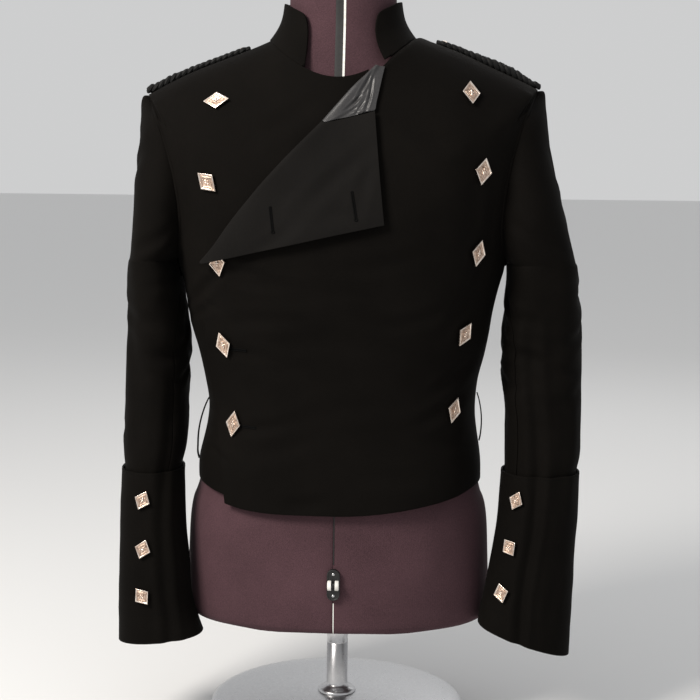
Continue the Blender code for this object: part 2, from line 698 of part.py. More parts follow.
Stand = namedtuple("Stand", "side front back z_front z_side z_back right left")
COLLAR = [
    Stand(0.0830, 0.0900, 0.0560, 0.6200, 0.6655, 0.6720, COLLAR_END_RIGHT, COLLAR_END_LEFT),
    Stand(0.0760, 0.0800, 0.0535, 0.6350, 0.6755, 0.6840, -28.5, 34.5),
    Stand(0.0712, 0.0725, 0.0520, 0.6500, 0.6855, 0.6965, -30.0, 33.5),
    Stand(0.0688, 0.0685, 0.0512, 0.6640, 0.6950, 0.7090, -31.5, 34.0),
    Stand(0.0676, 0.0662, 0.0510, 0.6745, 0.7025, 0.7180, -34.5, 36.5),
    Stand(0.0672, 0.0654, 0.0508, 0.6790, 0.7055, 0.7215, -39.0, 41.0),
]


COLLAR_RISE = 0.0016         # of the collar's lower edge over the neck seam


def build_collar(material, collection):
    """The stand collar, open at the front, with rounded upper corners."""
    rows = []
    for stand in COLLAR:
        start = math.radians(stand.left)
        end = math.radians(360.0 + stand.right)
        row = []
        for angle in spaced(start, end, 27):
            sine, cosine = math.sin(angle), math.cos(angle)
            reach, top = (stand.front, stand.z_front) if cosine >= 0 else (stand.back, stand.z_back)
            swell = 1.0 + 0.03 * math.sin(2.0 * angle) ** 2
            x = stand.side * sine * swell
            z = stand.z_side + (top - stand.z_side) * abs(cosine) ** 2.4
            z += SHOULDER_TILT * x + COLLAR_RISE
            row.append(Vector((x, -reach * cosine * swell, z)))
        rows.append(row)
    cloth("collar", rows, material, collection, wall=0.0026)


# Sleeves and cuffs

def armhole_curve(side, face):
    """Corners of a panel's armhole edge, from the bottom up to the shoulder's tip."""
    curve = []
    for place in panel_places(ARMPIT_PLACE, TIP_PLACE):
        curve.append(jacket_point(place, side_angle(place, side, face)))
    return curve


def at_height(curve, z):
    """The point of an armhole curve at a height."""
    for low, high in zip(curve, curve[1:]):
        if low.z <= z <= high.z:
            return low.lerp(high, (z - low.z) / (high.z - low.z))
    return curve[0].copy() if z < curve[0].z else curve[-1].copy()


def crease_depth(creases, z, degrees):
    """How far a sleeve's creases press it in, at a height and a turn from the outer side."""
    depth = 0.0
    for crease in creases:
        turn = (degrees - crease.turn + 180.0) % 360.0 - 180.0
        rise = z - crease.z - crease.rise * turn / 90.0
        depth += crease.depth * math.exp(-(rise / crease.height) ** 2 - (turn / crease.spread) ** 2)
    return depth


def head_point(head, z, middle_y, front, back, share, side):
    """A point of the sleeve's head; share runs from -1 at the front seam to 1 at the back seam."""
    sweep = math.radians(head.sweep)
    seam = front if share < 0.0 else back
    end_swell = 1.0 + head.square * math.sin(2.0 * sweep) ** 2
    width = (head.outer - abs(seam.x)) / (1.0 - math.cos(sweep) * end_swell)
    turn = sweep * share
    swell = 1.0 + head.square * math.sin(2.0 * turn) ** 2
    x = head.outer - width * (1.0 - math.cos(turn) * swell)
    y = middle_y + head.reach * math.sin(turn) * swell
    missing = seam.y - (middle_y + head.reach * math.sin(math.copysign(sweep, share)) * end_swell)
    y += missing * abs(share) ** 4
    return Vector((side * x, y, z + head.puff * (1.0 - share * share)))


def oval_point(oval, turn, side, slope=0.0):
    """A point of an oval; the turn is from the outer side, and a negative one is at the front."""
    swell = 1.0 + oval.square * math.sin(2.0 * turn) ** 2
    x = oval.x + oval.width * math.cos(turn) * swell
    y = oval.y + oval.depth * math.sin(turn) * swell
    return Vector((side * x, y, oval.z + slope * (x - oval.x)))


def sleeve_rows(side, heads, ovals, creases, shares_of):
    """Rows of a sleeve piece from the head down; shares_of gives each row's places round it."""
    front, back = armhole_curve(side, "front"), armhole_curve(side, "back")
    tip_z = front[-1].z
    bottom = 0.5 * (front[0] + back[0])
    height = tip_z - bottom.z
    low = ovals[0]
    rows = []
    for head in heads:
        z = tip_z - head.fall * height
        shares = shares_of(z)
        if shares:
            ends = at_height(front, z), at_height(back, z)
            middle_y = 0.5 * (ends[0].y + ends[1].y)
            middle_y += (low.y - middle_y) * ease((bottom.z + 0.045 - z) / 0.030)
            for end in ends:
                end.x += side * SLEEVE_SEAM
            rows.append([head_point(head, z, middle_y, *ends, share, side) for share in shares])
    inner = abs(bottom.x) + SLEEVE_SEAM
    outer = 0.5 * (heads[-1].outer + low.x + low.width)
    hanging = [Oval(bottom.z - GAP, 0.5 * (inner + outer), low.y, 0.5 * (outer - inner),
                    0.5 * (heads[-1].reach + low.depth), low.square)]
    hanging += ovals
    steps = [float(index) for index in range(len(hanging))] + [1.5, 2.5, 3.5, 4.5]
    for step in sorted(steps):
        oval = smooth_row(hanging, step)
        shares = shares_of(oval.z)
        if shares:
            rows.append([oval_point(oval, math.pi * share, side) for share in shares])
    for row in rows:
        for point in row:
            middle = Vector((side * 0.224, low.y, point.z))
            outward = (point - middle).normalized()
            turn = math.degrees(math.atan2(-outward.y, side * outward.x))
            fade = ease((0.575 - point.z) / 0.04) * ease((point.z - 0.176) / 0.02)
            point -= outward * crease_depth(creases, point.z, turn) * fade
    return rows


def seam_shares(z, armpit_z):
    """Half turns at which the front and back seams of a sleeve run, by height."""
    spread = ease((armpit_z - z) / 0.090)
    return 0.993 - 0.250 * spread, 0.993 - 0.360 * spread


def build_sleeves(material, collection):
    """Two-piece sleeves: the upper piece with the whole head, the under piece from the armpit."""
    tops = []
    for name, side, heads, ovals, creases in (
        ("right", -1, HEAD_RIGHT, SLEEVE_RIGHT, CREASES_RIGHT),
        ("left", 1, HEAD_LEFT, SLEEVE_LEFT, CREASES_LEFT),
    ):
        armpit_z = 0.5 * (armhole_curve(side, "front")[0].z + armhole_curve(side, "back")[0].z)
        half_gap = 0.5 * SLEEVE_SEAM / 0.150

        def upper(z):
            if z > armpit_z:
                return spaced(-1.0, 1.0, 15)
            front, back = seam_shares(z, armpit_z)
            return spaced(half_gap - front, back - half_gap, 15)

        def under(z):
            if z > armpit_z - 0.002:
                return None
            front, back = seam_shares(z, armpit_z)
            return spaced(back + half_gap, 2.0 - front - half_gap, 8)

        for piece, shares_of in (("topsleeve_", upper), ("undersleeve_", under)):
            rows = sleeve_rows(side, heads, ovals, creases, shares_of)
            if side > 0:
                rows = rows[::-1]
            sleeve = cloth(piece + name, rows, material, collection)
            if piece == "topsleeve_":
                tops.append(sleeve)
    return tops


def cuff_point(ovals, slope, side, place, turn):
    """A point of a cuff's outer face."""
    oval = smooth_row(ovals, place)
    fall = slope * ease((place - 2.0) / (len(ovals) - 3.0))
    return oval_point(oval, turn, side, fall)


def build_cuffs(material, collection):
    """Gauntlet cuffs, which stand a little proud of the sleeves that end inside them."""
    cuffs = []
    for name, side, ovals, slope in (
        ("cuff_right", -1, CUFF_RIGHT, CUFF_SLOPE_RIGHT),
        ("cuff_left", 1, CUFF_LEFT, CUFF_SLOPE_LEFT),
    ):
        rows = []
        for place in range(len(ovals)):
            turns = [2.0 * math.pi * index / 22 for index in range(22)]
            rows.append([cuff_point(ovals, slope, side, float(place), turn) for turn in turns])
        if side > 0:
            rows = rows[::-1]
        cuffs.append(cloth(name, rows, material, collection, closed=True))
    return cuffs


# Buttons, cords and loops

def surface(*pieces):
    """The finished faces of one or more pieces, to lay other pieces on."""
    graph = bpy.context.evaluated_depsgraph_get()
    points, faces = [], []
    for piece in pieces:
        mesh = piece.evaluated_get(graph).to_mesh()
        first = len(points)
        points.extend(piece.matrix_world @ vertex.co for vertex in mesh.vertices)
        faces.extend([first + corner for corner in face.vertices] for face in mesh.polygons)
        piece.evaluated_get(graph).to_mesh_clear()
    return BVHTree.FromPolygons(points, faces)


def seen_from_front(tree, x, z):
    """Place and direction of the face that shows at x and z, from the front."""
    place, normal, _, _ = tree.ray_cast(Vector((x, -1.0, z + FORM_LIFT)), Vector((0, 1, 0)))
    return place, normal


def seat(piece, tree, x, z, turn, foot, rim, shank):
    """Lays a button on cloth: its Z outwards, its X turned from upright, just clear all over."""
    seen = [(*seen_from_front(tree, x, z), 0.0)]
    for radius, spare in ((foot, 0.0), (0.5 * rim, shank), (0.8 * rim, shank)):
        for index in range(12):
            angle = math.pi * index / 6
            dx, dz = radius * math.cos(angle), radius * math.sin(angle)
            seen.append((*seen_from_front(tree, x + dx, z + dz), spare))
    normal = sum((direction for _, direction, _ in seen), Vector()).normalized()
    centre = seen[0][0]
    lift = max((place - centre).dot(normal) - spare for place, _, spare in seen) + GAP
    up = (Vector((0, 0, 1)) - normal * normal.z).normalized()
    right = up.cross(normal)
    axis = up * math.cos(math.radians(turn)) + right * math.sin(math.radians(turn))
    frame = Matrix((axis, normal.cross(axis), normal)).transposed().to_4x4()
    place = Matrix.Translation(centre + normal * lift)
    piece.matrix_world = place @ frame @ Matrix.Diagonal(piece.scale).to_4x4()


def rhombic_button(name, size, tree, button, material, collection):
    """A rhombic plate with a raised rim and boss, on a short shank: a profile turned in 4 steps."""
    half = size[0]
    foot = 0.24 * half
    profile = [
        (0.0, 0.0048),
        (0.20 * half, 0.0045),
        (0.34 * half, 0.0034),
        (0.70 * half, 0.0033),
        (0.76 * half, 0.0043),
        (0.90 * half, 0.0045),
        (0.98 * half, 0.0038),
        (half, 0.0028),
        (0.95 * half, 0.0019),
        (0.30 * half, 0.0018),
        (foot, 0.0),
        (0.0, 0.0),
    ]
    piece = turned(name, profile, material, collection, steps=4)
    piece.scale = (1.0, size[1] / size[0], 1.0)
    seat(piece, tree, button.x, button.z, button.turn, foot, half, 0.0018)


def build_front_buttons(fronts, material, collection):
    """Two rows of five; the upper two of the wearer's right row show on the front beneath."""
    tree = surface(*fronts)
    for index, button in enumerate(BUTTONS_RIGHT + BUTTONS_LEFT):
        name = "front_button_%s_%d" % ("right" if index < 5 else "left", index % 5 + 1)
        rhombic_button(name, FRONT_BUTTON, tree, button, material, collection)


def build_cuff_buttons(cuffs, material, collection):
    """Three on the front of each cuff."""
    for name, cuff, buttons in zip(("right", "left"), cuffs, (CUFF_BUTTONS_RIGHT, CUFF_BUTTONS_LEFT)):
        tree = surface(cuff)
        for index, button in enumerate(buttons):
            label = "cuff_button_%s_%d" % (name, index + 1)
            rhombic_button(label, CUFF_BUTTON, tree, button, material, collection)


CORD_START, CORD_END = 0.106, 0.2265      # along the shoulder, from the centre of the body
CORD_HALF_WIDTH = 0.0085
CORD_HEIGHT = 0.0041
CORD_END_HEIGHT = 0.0056                  # the plait is thicker at its outer end
PLAIT_LENGTH = 0.0095                     # one chevron of the plait


def cord_arch(side, share):
    """How much higher a cord's top bows, from its neck end to its outer end."""
    if side < 0:
        return 0.0036 * ease(1.15 * share)
    return 0.0060 * math.sin(math.pi * share ** 1.35) ** 1.5


def build_shoulder_cords(pieces, material, button_material, collection):
    """A flat plait along each shoulder, held by a small button near the collar."""
    tree = surface(*pieces)
    down = Vector((0, 0, -1))
    for name, side in (("right", -1), ("left", 1)):
        ridge = ring_point(smooth_row(RINGS, 19.0), side * math.pi / 2).y
        rings = []
        count = int((CORD_END - CORD_START) / PLAIT_LENGTH * 3) + 1
        for index in range(count):
            share = index / (count - 1)
            x = CORD_START + (CORD_END - CORD_START) * share
            ends = []
            for along in (-0.003, 0.003):
                above = Vector((side * min(x + along, 0.219), ridge - 0.003, 1.0))
                ends.append(tree.ray_cast(above, down)[0])
            slope = (ends[1].z - ends[0].z) / 0.006
            highest = 0.0
            for across in (-1.0, -0.6, 0.0, 0.6, 1.0):
                for along in (-0.003, -0.0015, 0.0, 0.0015, 0.003):
                    y = ridge + across * CORD_HALF_WIDTH
                    hit = tree.ray_cast(Vector((side * (x + along), y, 1.0)), down)[0]
                    if hit:
                        highest = max(highest, hit.z - slope * along + 3.0 * (y - ridge) ** 2)
            base = highest - FORM_LIFT + 1.5 * GAP
            wave = 0.5 + 0.5 * math.cos(2.0 * math.pi * (x - CORD_START) / PLAIT_LENGTH)
            lean = 0.5 + 0.5 * math.cos(2.0 * math.pi * ((x - CORD_START) / PLAIT_LENGTH + 0.4))
            taper = 0.62 + 0.38 * ease(min(share, 1.0 - share) / 0.06)
            half = CORD_HALF_WIDTH * taper * (0.93 + 0.07 * wave)
            thick = CORD_HEIGHT + (CORD_END_HEIGHT - CORD_HEIGHT) * ease((share - 0.45) / 0.35)
            top = thick * (0.78 + 0.22 * taper) + cord_arch(side, share)
            ring = []
            for across, height in (
                (-1.00, 0.42), (-0.55, 0.80 + 0.20 * lean), (0.0, 0.80 + 0.20 * wave),
                (0.55, 0.80 + 0.20 * lean), (1.00, 0.42), (0.60, 0.0), (-0.60, 0.0),
            ):
                y = across * half
                ring.append(Vector((side * x, ridge + y, base + top * height - 3.0 * y * y)))
            rings.append(ring)
        cord = loft("shoulder_cord_" + name, rings, material, collection)

        dome = [(0.0, 0.0030), (0.0026, 0.0027), (0.0044, 0.0018), (0.0050, 0.0008), (0.0046, 0.0),
                (0.0, 0.0)]
        button = turned("cord_button_" + name, dome, button_material, collection, steps=12)
        x = side * (CORD_START + 0.009)
        cord_tree = surface(cord)
        hits = [cord_tree.ray_cast(Vector((x + dx, ridge + dy, 1.0)), down)[0] for dx, dy in
                ((-0.0045, 0.0), (0.0045, 0.0), (0.0, 0.0045), (0.0, -0.0045), (0.0, 0.0), (0.0032, 0.0032),
                 (-0.0032, 0.0032), (0.0032, -0.0032), (-0.0032, -0.0032), (0.002, 0.0), (-0.002, 0.0))]
        tilt = math.atan2(hits[0].z - hits[1].z, 0.009)
        rise = max(hit.z + (hit.x - x) * math.tan(tilt) for hit in hits) + 2.0 * GAP
        button.matrix_world = (
            Matrix.Translation((x, ridge, rise)) @ Matrix.Rotation(tilt, 4, "Y")
        )


LOOP_WIDTH = 0.0060
LOOP_WALL = 0.0014


def side_point(side, z):
    """The point of the side seam at a height below the armpit."""
    turn = side * math.pi / 2
    return jacket_point(solve(lambda row: jacket_point(row, turn).z - z, 0.0, 9.0), turn)


def build_belt_loops(material, collection):
    """A narrow strip at each side seam, sewn down at both ends and bowed out between."""
    for name, side, low, high, bow in (
        ("belt_loop_right", -1, 0.178, 0.251, 0.0060),
        ("belt_loop_left", 1, 0.205, 0.262, 0.0040),
    ):
        ends = [side_point(side, low), side_point(side, high)]
        rows = []
        for share in spaced(0.0, 1.0, 11):
            z = low + (high - low) * share
            body = side_point(side, z)
            chord = ends[0].lerp(ends[1], share)
            out = max(abs(chord.x), abs(body.x)) + LOOP_WALL + 2.0 * GAP
            out += bow * math.sin(math.pi * share) ** 0.8
            edges = (-0.5, 0.5) if side > 0 else (0.5, -0.5)
            rows.append([Vector((side * out, body.y + LOOP_WIDTH * edge, z)) for edge in edges])
        cloth(name, rows, material, collection, wall=LOOP_WALL)


# The dress form and its stand

def form_angles():
    """Angles round the form, with close ones at the slit down its front."""
    slit = [-1.2, -0.35, 0.35, 1.2]
    rest = spaced(12.0, 348.0, 27)
    return [math.radians(angle) for angle in slit + rest]


def form_ring(side, front, back, square, heights, groove=GROOVE_DEPTH, lean=0.0):
    """A ring of the form, with the slit pressed in at its centre front."""
    z_front, z_side, z_back = heights
    ring = []
    for angle in form_angles():
        shape = Ring(z_front, z_side, z_back, side, front, back, square, lean)
        cosine = math.cos(angle)
        point = ring_point(shape, angle)
        point.z -= SHOULDER_TILT * point.x * ease((point.z - 0.40) / 0.20)
        if cosine > 0.0 and abs(math.sin(angle)) < math.sin(math.radians(0.5)):
            point.y += groove
        ring.append(point)
    return ring


def build_form(materials, collection):
    """The jersey-covered body of the form, closed at the neck and underneath."""
    rings = []
    for cut in FORM_HIPS:
        rings.append(form_ring(cut.side, cut.front, cut.back, cut.square, (cut.z,) * 3))
    for place in (1.0, 2.0, 3.0, 4.2, 5.5, 7.5, 10.0, 13.0, 16.0, 18.0, 19.5, 21.0):
        ring = smooth_row(RINGS, place)
        inset = FORM_CLEARANCE
        drop = 0.004 + 0.006 * ease((place - 12.0) / 6.0)
        side = min(ring.side, FORM_SHOULDER) - inset
        if place > 17.0:
            side = min(ring.side - inset, FORM_SHOULDER - inset - 0.002)
        heights = (ring.z_front - drop, ring.z_side - drop, ring.z_back - drop)
        if ring.side > FORM_SHOULDER:
            slack = 0.55 * (ring.side - FORM_SHOULDER)
            heights = (heights[0], heights[1] - 0.2 * slack, heights[2])
        square = min(ring.square, 0.045)
        reach = ring.front - inset, ring.back - inset
        rings.append(form_ring(side, *reach, square, heights, lean=ring.lean))
    for cut in FORM_NECK:
        slope = 0.35 * ease((0.690 - cut.z) / 0.04)
        heights = (cut.z - 0.05 * slope, cut.z, cut.z)
        rings.append(form_ring(cut.side, cut.front, cut.back, cut.square, heights))
    loft("form_body", rings, materials["jersey"], collection)

    cap = []
    for z, grow in ((0.0, 0.0), (0.0055, 0.0006), (0.0080, -0.0012), (0.0092, -0.0060)):
        side, front, back = (value + grow for value in (0.0605, 0.0560, 0.0450))
        height = NECK_TOP + GAP + z
        cap.append(form_ring(side, front, back, 0.020, (height,) * 3, groove=0.0))
    loft("form_neck_cap", cap, materials["black_plastic"], collection)


def build_stand(materials, collection):
    """A round base and a short pole with a flange under the form."""
    base = [
        (0.0, BASE_HEIGHT),
        (0.6 * BASE_RADIUS, BASE_HEIGHT - 0.001),
        (BASE_RADIUS - 0.008, BASE_HEIGHT - 0.006),
        (BASE_RADIUS, BASE_HEIGHT - 0.011),
        (BASE_RADIUS, 0.0015),
        (BASE_RADIUS - 0.0015, 0.0),
        (0.0, 0.0),
    ]
    turned("form_base", base, materials["steel"], collection, steps=32)
    top = FORM_LIFT - GAP
    pole = [
        (0.0, top),
        (FLANGE_RADIUS, top),
        (FLANGE_RADIUS, top - 0.004),
        (POLE_RADIUS + 0.004, top - 0.009),
        (POLE_RADIUS, top - 0.016),
        (POLE_RADIUS, BASE_HEIGHT + 0.010),
        (POLE_RADIUS + 0.008, BASE_HEIGHT + 0.004),
        (POLE_RADIUS + 0.010, BASE_HEIGHT + GAP),
        (0.0, BASE_HEIGHT + GAP),
    ]
    turned("form_pole", pole, materials["steel"], collection, steps=16)


ADJUSTER_X, ADJUSTER_Z = 0.0008, 0.0600
HOUSING_HALF = (0.0072, 0.0178)
HOUSING_DEPTH = 0.0050
DIAL_RADIUS = 0.0062
DIAL_HALF_LENGTH = 0.0066


def build_adjuster(materials, collection, cutters):
    """The oval housing low on the form's front, with the dial that sets the form's girth."""
    front_y = -0.1168 - GAP
    outline = []
    half_width, half_height = HOUSING_HALF
    straight = half_height - half_width
    for index in range(20):
        turn = 2.0 * math.pi * (index + 0.5) / 20
        shift = straight if math.sin(turn) > 0 else -straight
        outline.append((half_width * math.cos(turn), half_width * math.sin(turn) + shift))
    rings = []
    for depth, shrink in ((0.0, 0.0), (0.0034, 0.0), (0.0045, 0.0005), (HOUSING_DEPTH, 0.0016)):
        ring = []
        for x, z in outline:
            scale_x = (half_width - shrink) / half_width
            scale_z = (half_height - shrink) / half_height
            ring.append(Vector((ADJUSTER_X + x * scale_x, front_y - depth, ADJUSTER_Z + z * scale_z)))
        rings.append(ring)
    housing = loft("adjuster_housing", rings, materials["black_plastic"], collection)

    bpy.ops.mesh.primitive_cube_add(size=1.0)
    cutter = bpy.context.object
    cutter.name = "dial_window"
    cutter.scale = (2 * DIAL_HALF_LENGTH + 2 * GAP, 0.012, 2 * DIAL_RADIUS + 2 * GAP)
    cutter.location = (ADJUSTER_X, front_y - 0.0068, ADJUSTER_Z + FORM_LIFT)
    cutter.hide_render = True
    cutter.display_type = "WIRE"
    for owner in cutter.users_collection:
        owner.objects.unlink(cutter)
    cutters.objects.link(cutter)
    window = housing.modifiers.new("Window", "BOOLEAN")
    window.operation = "DIFFERENCE"
    window.solver = "EXACT"
    window.object = cutter

    drum = DIAL_HALF_LENGTH
    profile = [
        (0.0, drum), (0.0050, drum), (0.0058, drum - 0.0008), (0.0058, 0.0018), (0.0034, 0.0012),
        (0.0034, -0.0012), (0.0058, -0.0018), (0.0058, 0.0008 - drum), (0.0050, -drum), (0.0, -drum),
    ]
    dial = turned("adjuster_dial", profile, materials["dial_ivory"], collection, steps=12)
    dial.matrix_world = (
        Matrix.Translation((ADJUSTER_X, front_y - 0.0071, ADJUSTER_Z + FORM_LIFT))
        @ Matrix.Rotation(math.pi / 2, 4, "Y")
    )


def main():
    for item in list(bpy.data.objects):
        bpy.data.objects.remove(item, do_unlink=True)
    collection = bpy.data.collections.new("doublet_on_form")
    cutters = bpy.data.collections.new("cutters")
    bpy.context.scene.collection.children.link(collection)
    bpy.context.scene.collection.children.link(cutters)
    materials = {name: new_material(name) for name in COLOURS}
    build_form(materials, collection)
    build_stand(materials, collection)
    build_adjuster(materials, collection, cutters)
    fronts = build_fronts(materials["wool"], collection)
    backs = build_backs(materials["wool"], collection)
    build_facing(materials["wool"], collection)
    build_lapel_lining(materials["satin"], collection)
    build_collar(materials["wool"], collection)
    sleeves = build_sleeves(materials["wool"], collection)
    cuffs = build_cuffs(materials["wool"], collection)
    metal = materials["button_metal"]
    build_front_buttons(fronts, metal, collection)
    build_cuff_buttons(cuffs, metal, collection)
    build_shoulder_cords(fronts + backs + sleeves, materials["cord"], metal, collection)
    build_belt_loops(materials["wool"], collection)


main()
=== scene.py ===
import math

import bmesh
import bpy
import numpy as np
from mathutils import Matrix, Vector
from mathutils.bvhtree import BVHTree
from mathutils.kdtree import KDTree


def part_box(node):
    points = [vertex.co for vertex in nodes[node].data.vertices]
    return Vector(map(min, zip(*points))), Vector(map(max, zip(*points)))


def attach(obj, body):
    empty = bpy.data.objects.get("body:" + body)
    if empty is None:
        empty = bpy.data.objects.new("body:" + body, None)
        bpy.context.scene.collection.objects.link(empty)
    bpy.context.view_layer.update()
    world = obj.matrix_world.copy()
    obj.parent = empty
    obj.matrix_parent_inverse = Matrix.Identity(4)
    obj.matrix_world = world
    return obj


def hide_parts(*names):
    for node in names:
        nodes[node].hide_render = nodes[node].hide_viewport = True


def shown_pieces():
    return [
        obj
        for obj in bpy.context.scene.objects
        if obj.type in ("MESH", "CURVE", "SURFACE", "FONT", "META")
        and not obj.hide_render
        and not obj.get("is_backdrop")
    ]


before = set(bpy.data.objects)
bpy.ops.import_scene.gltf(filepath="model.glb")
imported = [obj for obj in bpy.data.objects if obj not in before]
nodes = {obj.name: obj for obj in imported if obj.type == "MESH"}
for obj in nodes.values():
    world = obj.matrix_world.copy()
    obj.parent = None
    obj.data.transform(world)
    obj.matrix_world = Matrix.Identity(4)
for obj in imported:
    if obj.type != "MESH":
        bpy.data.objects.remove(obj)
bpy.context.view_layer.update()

formLift = 0.120        # underside of the form above the table


# looking at the doublet

view = {
    "lens": 79.61,      # mm on a 36 mm film
    "distance": 1.80,
    "pitch": 6.8,       # degrees down
    "yaw": 2.5,
    "roll": 0.6,
    "height": 0.644,
    "side": 0.0115,
}


def makeCamera(cfg):
    camera = bpy.data.objects.new("camera", bpy.data.cameras.new("camera"))
    bpy.context.scene.collection.objects.link(camera)
    bpy.context.scene.camera = camera
    camera.data.lens = cfg["lens"]
    camera.data.sensor_width = 36.0
    pitch, yaw, roll = (math.radians(cfg[key]) for key in ("pitch", "yaw", "roll"))
    right = Vector((math.cos(yaw), math.sin(yaw), 0.0))
    level = Vector((-math.sin(yaw), math.cos(yaw), 0.0))
    top = Vector((0.0, 0.0, 1.0))
    ahead = level * math.cos(pitch) - top * math.sin(pitch)
    up = top * math.cos(pitch) + level * math.sin(pitch)
    place = right * cfg["side"] - level * cfg["distance"] + top * cfg["height"]
    tiltedRight = right * math.cos(roll) + up * math.sin(roll)
    tiltedUp = up * math.cos(roll) - right * math.sin(roll)
    turn = Matrix((tiltedRight, tiltedUp, -ahead)).transposed()
    camera.matrix_world = Matrix.Translation(place) @ turn.to_4x4()
    return camera


makeCamera(view)
print("camera is set")


# light, floor and backdrop

studio = {
    "wall": (0.72, 0.72, 0.72),
    "skyColour": (0.99, 0.995, 1.0),
    "skyStrength": 0.62,
    # name, place, aim, size, watts, colour
    "lamps": [
        ("keyLamp", (-1.35, -1.35, 1.85), (0.0, 0.0, 0.64), 0.8, 66, (1.0, 0.95, 0.88)),
        ("backLamp", (0.6, 2.2, 2.2), (0.0, 0.0, 0.55), 1.6, 10, (1.0, 1.0, 1.0)),
    ],
}


def makeStudio(cfg):
    world = bpy.data.worlds.new("studioSky")
    bpy.context.scene.world = world
    world.use_nodes = True
    sky = world.node_tree.nodes["Background"]
    sky.inputs["Color"].default_value = (*cfg["skyColour"], 1.0)
    sky.inputs["Strength"].default_value = cfg["skyStrength"]
    for name, place, aim, size, watts, colour in cfg["lamps"]:
        lamp = bpy.data.lights.new(name, "AREA")
        lamp.size, lamp.energy, lamp.color = size, watts, colour
        holder = bpy.data.objects.new(name, lamp)
        bpy.context.scene.collection.objects.link(holder)
        holder.location = place
        holder.rotation_euler = (Vector(aim) - Vector(place)).to_track_quat("-Z", "Y").to_euler()

    bpy.ops.mesh.primitive_plane_add(size=60.0, location=(0, 0, 0))
    floor = bpy.context.object
    floor.name = "studioFloor"
    paper = bpy.data.materials.new("studioPaper")
    paper.use_nodes = True
    shader = paper.node_tree.nodes["Principled BSDF"]
    shader.inputs["Base Color"].default_value = (*cfg["wall"], 1.0)
    shader.inputs["Roughness"].default_value = 0.9
    floor.data.materials.append(paper)
    floor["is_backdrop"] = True


makeStudio(studio)
bpy.context.scene.view_settings.view_transform = "Standard"
print("studio is set")


# materials

finishes = {
    "wool": {"colour": (0.0037, 0.0031, 0.0026), "roughness": 0.78, "sheen": 0.012, "gloss": 0.035,
             "sheenTint": (0.62, 0.60, 0.58), "ribsPerMetre": 1050, "ribAngle": 58, "ribDepth": 0.00012},
    # the turned-back front's wool: the same wool with its colour painted lighter, as painted light where the
    # lamp falls on the front, and with more sheen and gloss
    "paintedLitWool": {"colour": (0.0058, 0.0052, 0.0048), "roughness": 0.78, "sheen": 0.024, "gloss": 0.07,
                 "sheenTint": (0.66, 0.62, 0.58), "ribsPerMetre": 1050, "ribAngle": -58, "ribDepth": 0.00012},
    "lining": {"colour": (0.008, 0.008, 0.009), "roughness": 0.42, "sheen": 0.02, "gloss": 0.20,
               "sheenTint": (0.6, 0.6, 0.6), "ribsPerMetre": 1600, "ribAngle": 0, "ribDepth": 0.00003},
    "satin": {"colour": (0.030, 0.029, 0.030), "roughness": 0.33, "sheen": 0.03, "gloss": 0.42,
              "sheenTint": (0.8, 0.8, 0.8), "ribsPerMetre": 1600, "ribAngle": 20, "ribDepth": 0.00003},
    "cord": {"colour": (0.006, 0.006, 0.006), "roughness": 0.60, "sheen": 0.03, "gloss": 0.16,
             "sheenTint": (0.7, 0.7, 0.7), "ribsPerMetre": 1300, "ribAngle": 35, "ribDepth": 0.00015},
    "jersey": {"colour": (0.060, 0.031, 0.037), "roughness": 0.88, "sheen": 0.05, "gloss": 0.12,
               "sheenTint": (0.8, 0.72, 0.76), "ribsPerMetre": 620, "ribAngle": 90, "ribDepth": 0.00010},
    "thread": {"colour": (0.0018, 0.0018, 0.0018), "roughness": 0.60, "sheen": 0.0, "gloss": 0.05,
               "sheenTint": (0.8, 0.8, 0.8), "ribsPerMetre": 2200, "ribAngle": 90, "ribDepth": 0.00010},
}


def link(tree, source, target):
    tree.links.new(source, target)


def add(tree, kind, **values):
    node = tree.nodes.new(kind)
    for key, value in values.items():
        node.inputs[key.replace("_", " ")].default_value = value
    return node


def mixed(tree, factor, first, second):
    # a colour between two, by a factor socket
    blend = tree.nodes.new("ShaderNodeMix")
    blend.data_type = "RGBA"
    blend.inputs[6].default_value = (*first, 1.0)
    blend.inputs[7].default_value = (*second, 1.0)
    link(tree, factor, blend.inputs[0])
    return blend.outputs[2]


def combined(tree, operation, *values):
    # a Math node; each value is a number or another node's socket
    node = tree.nodes.new("ShaderNodeMath")
    node.operation = operation
    for socket, value in zip(node.inputs, values):
        if isinstance(value, float):
            socket.default_value = value
        else:
            link(tree, value, socket)
    return node.outputs[0]


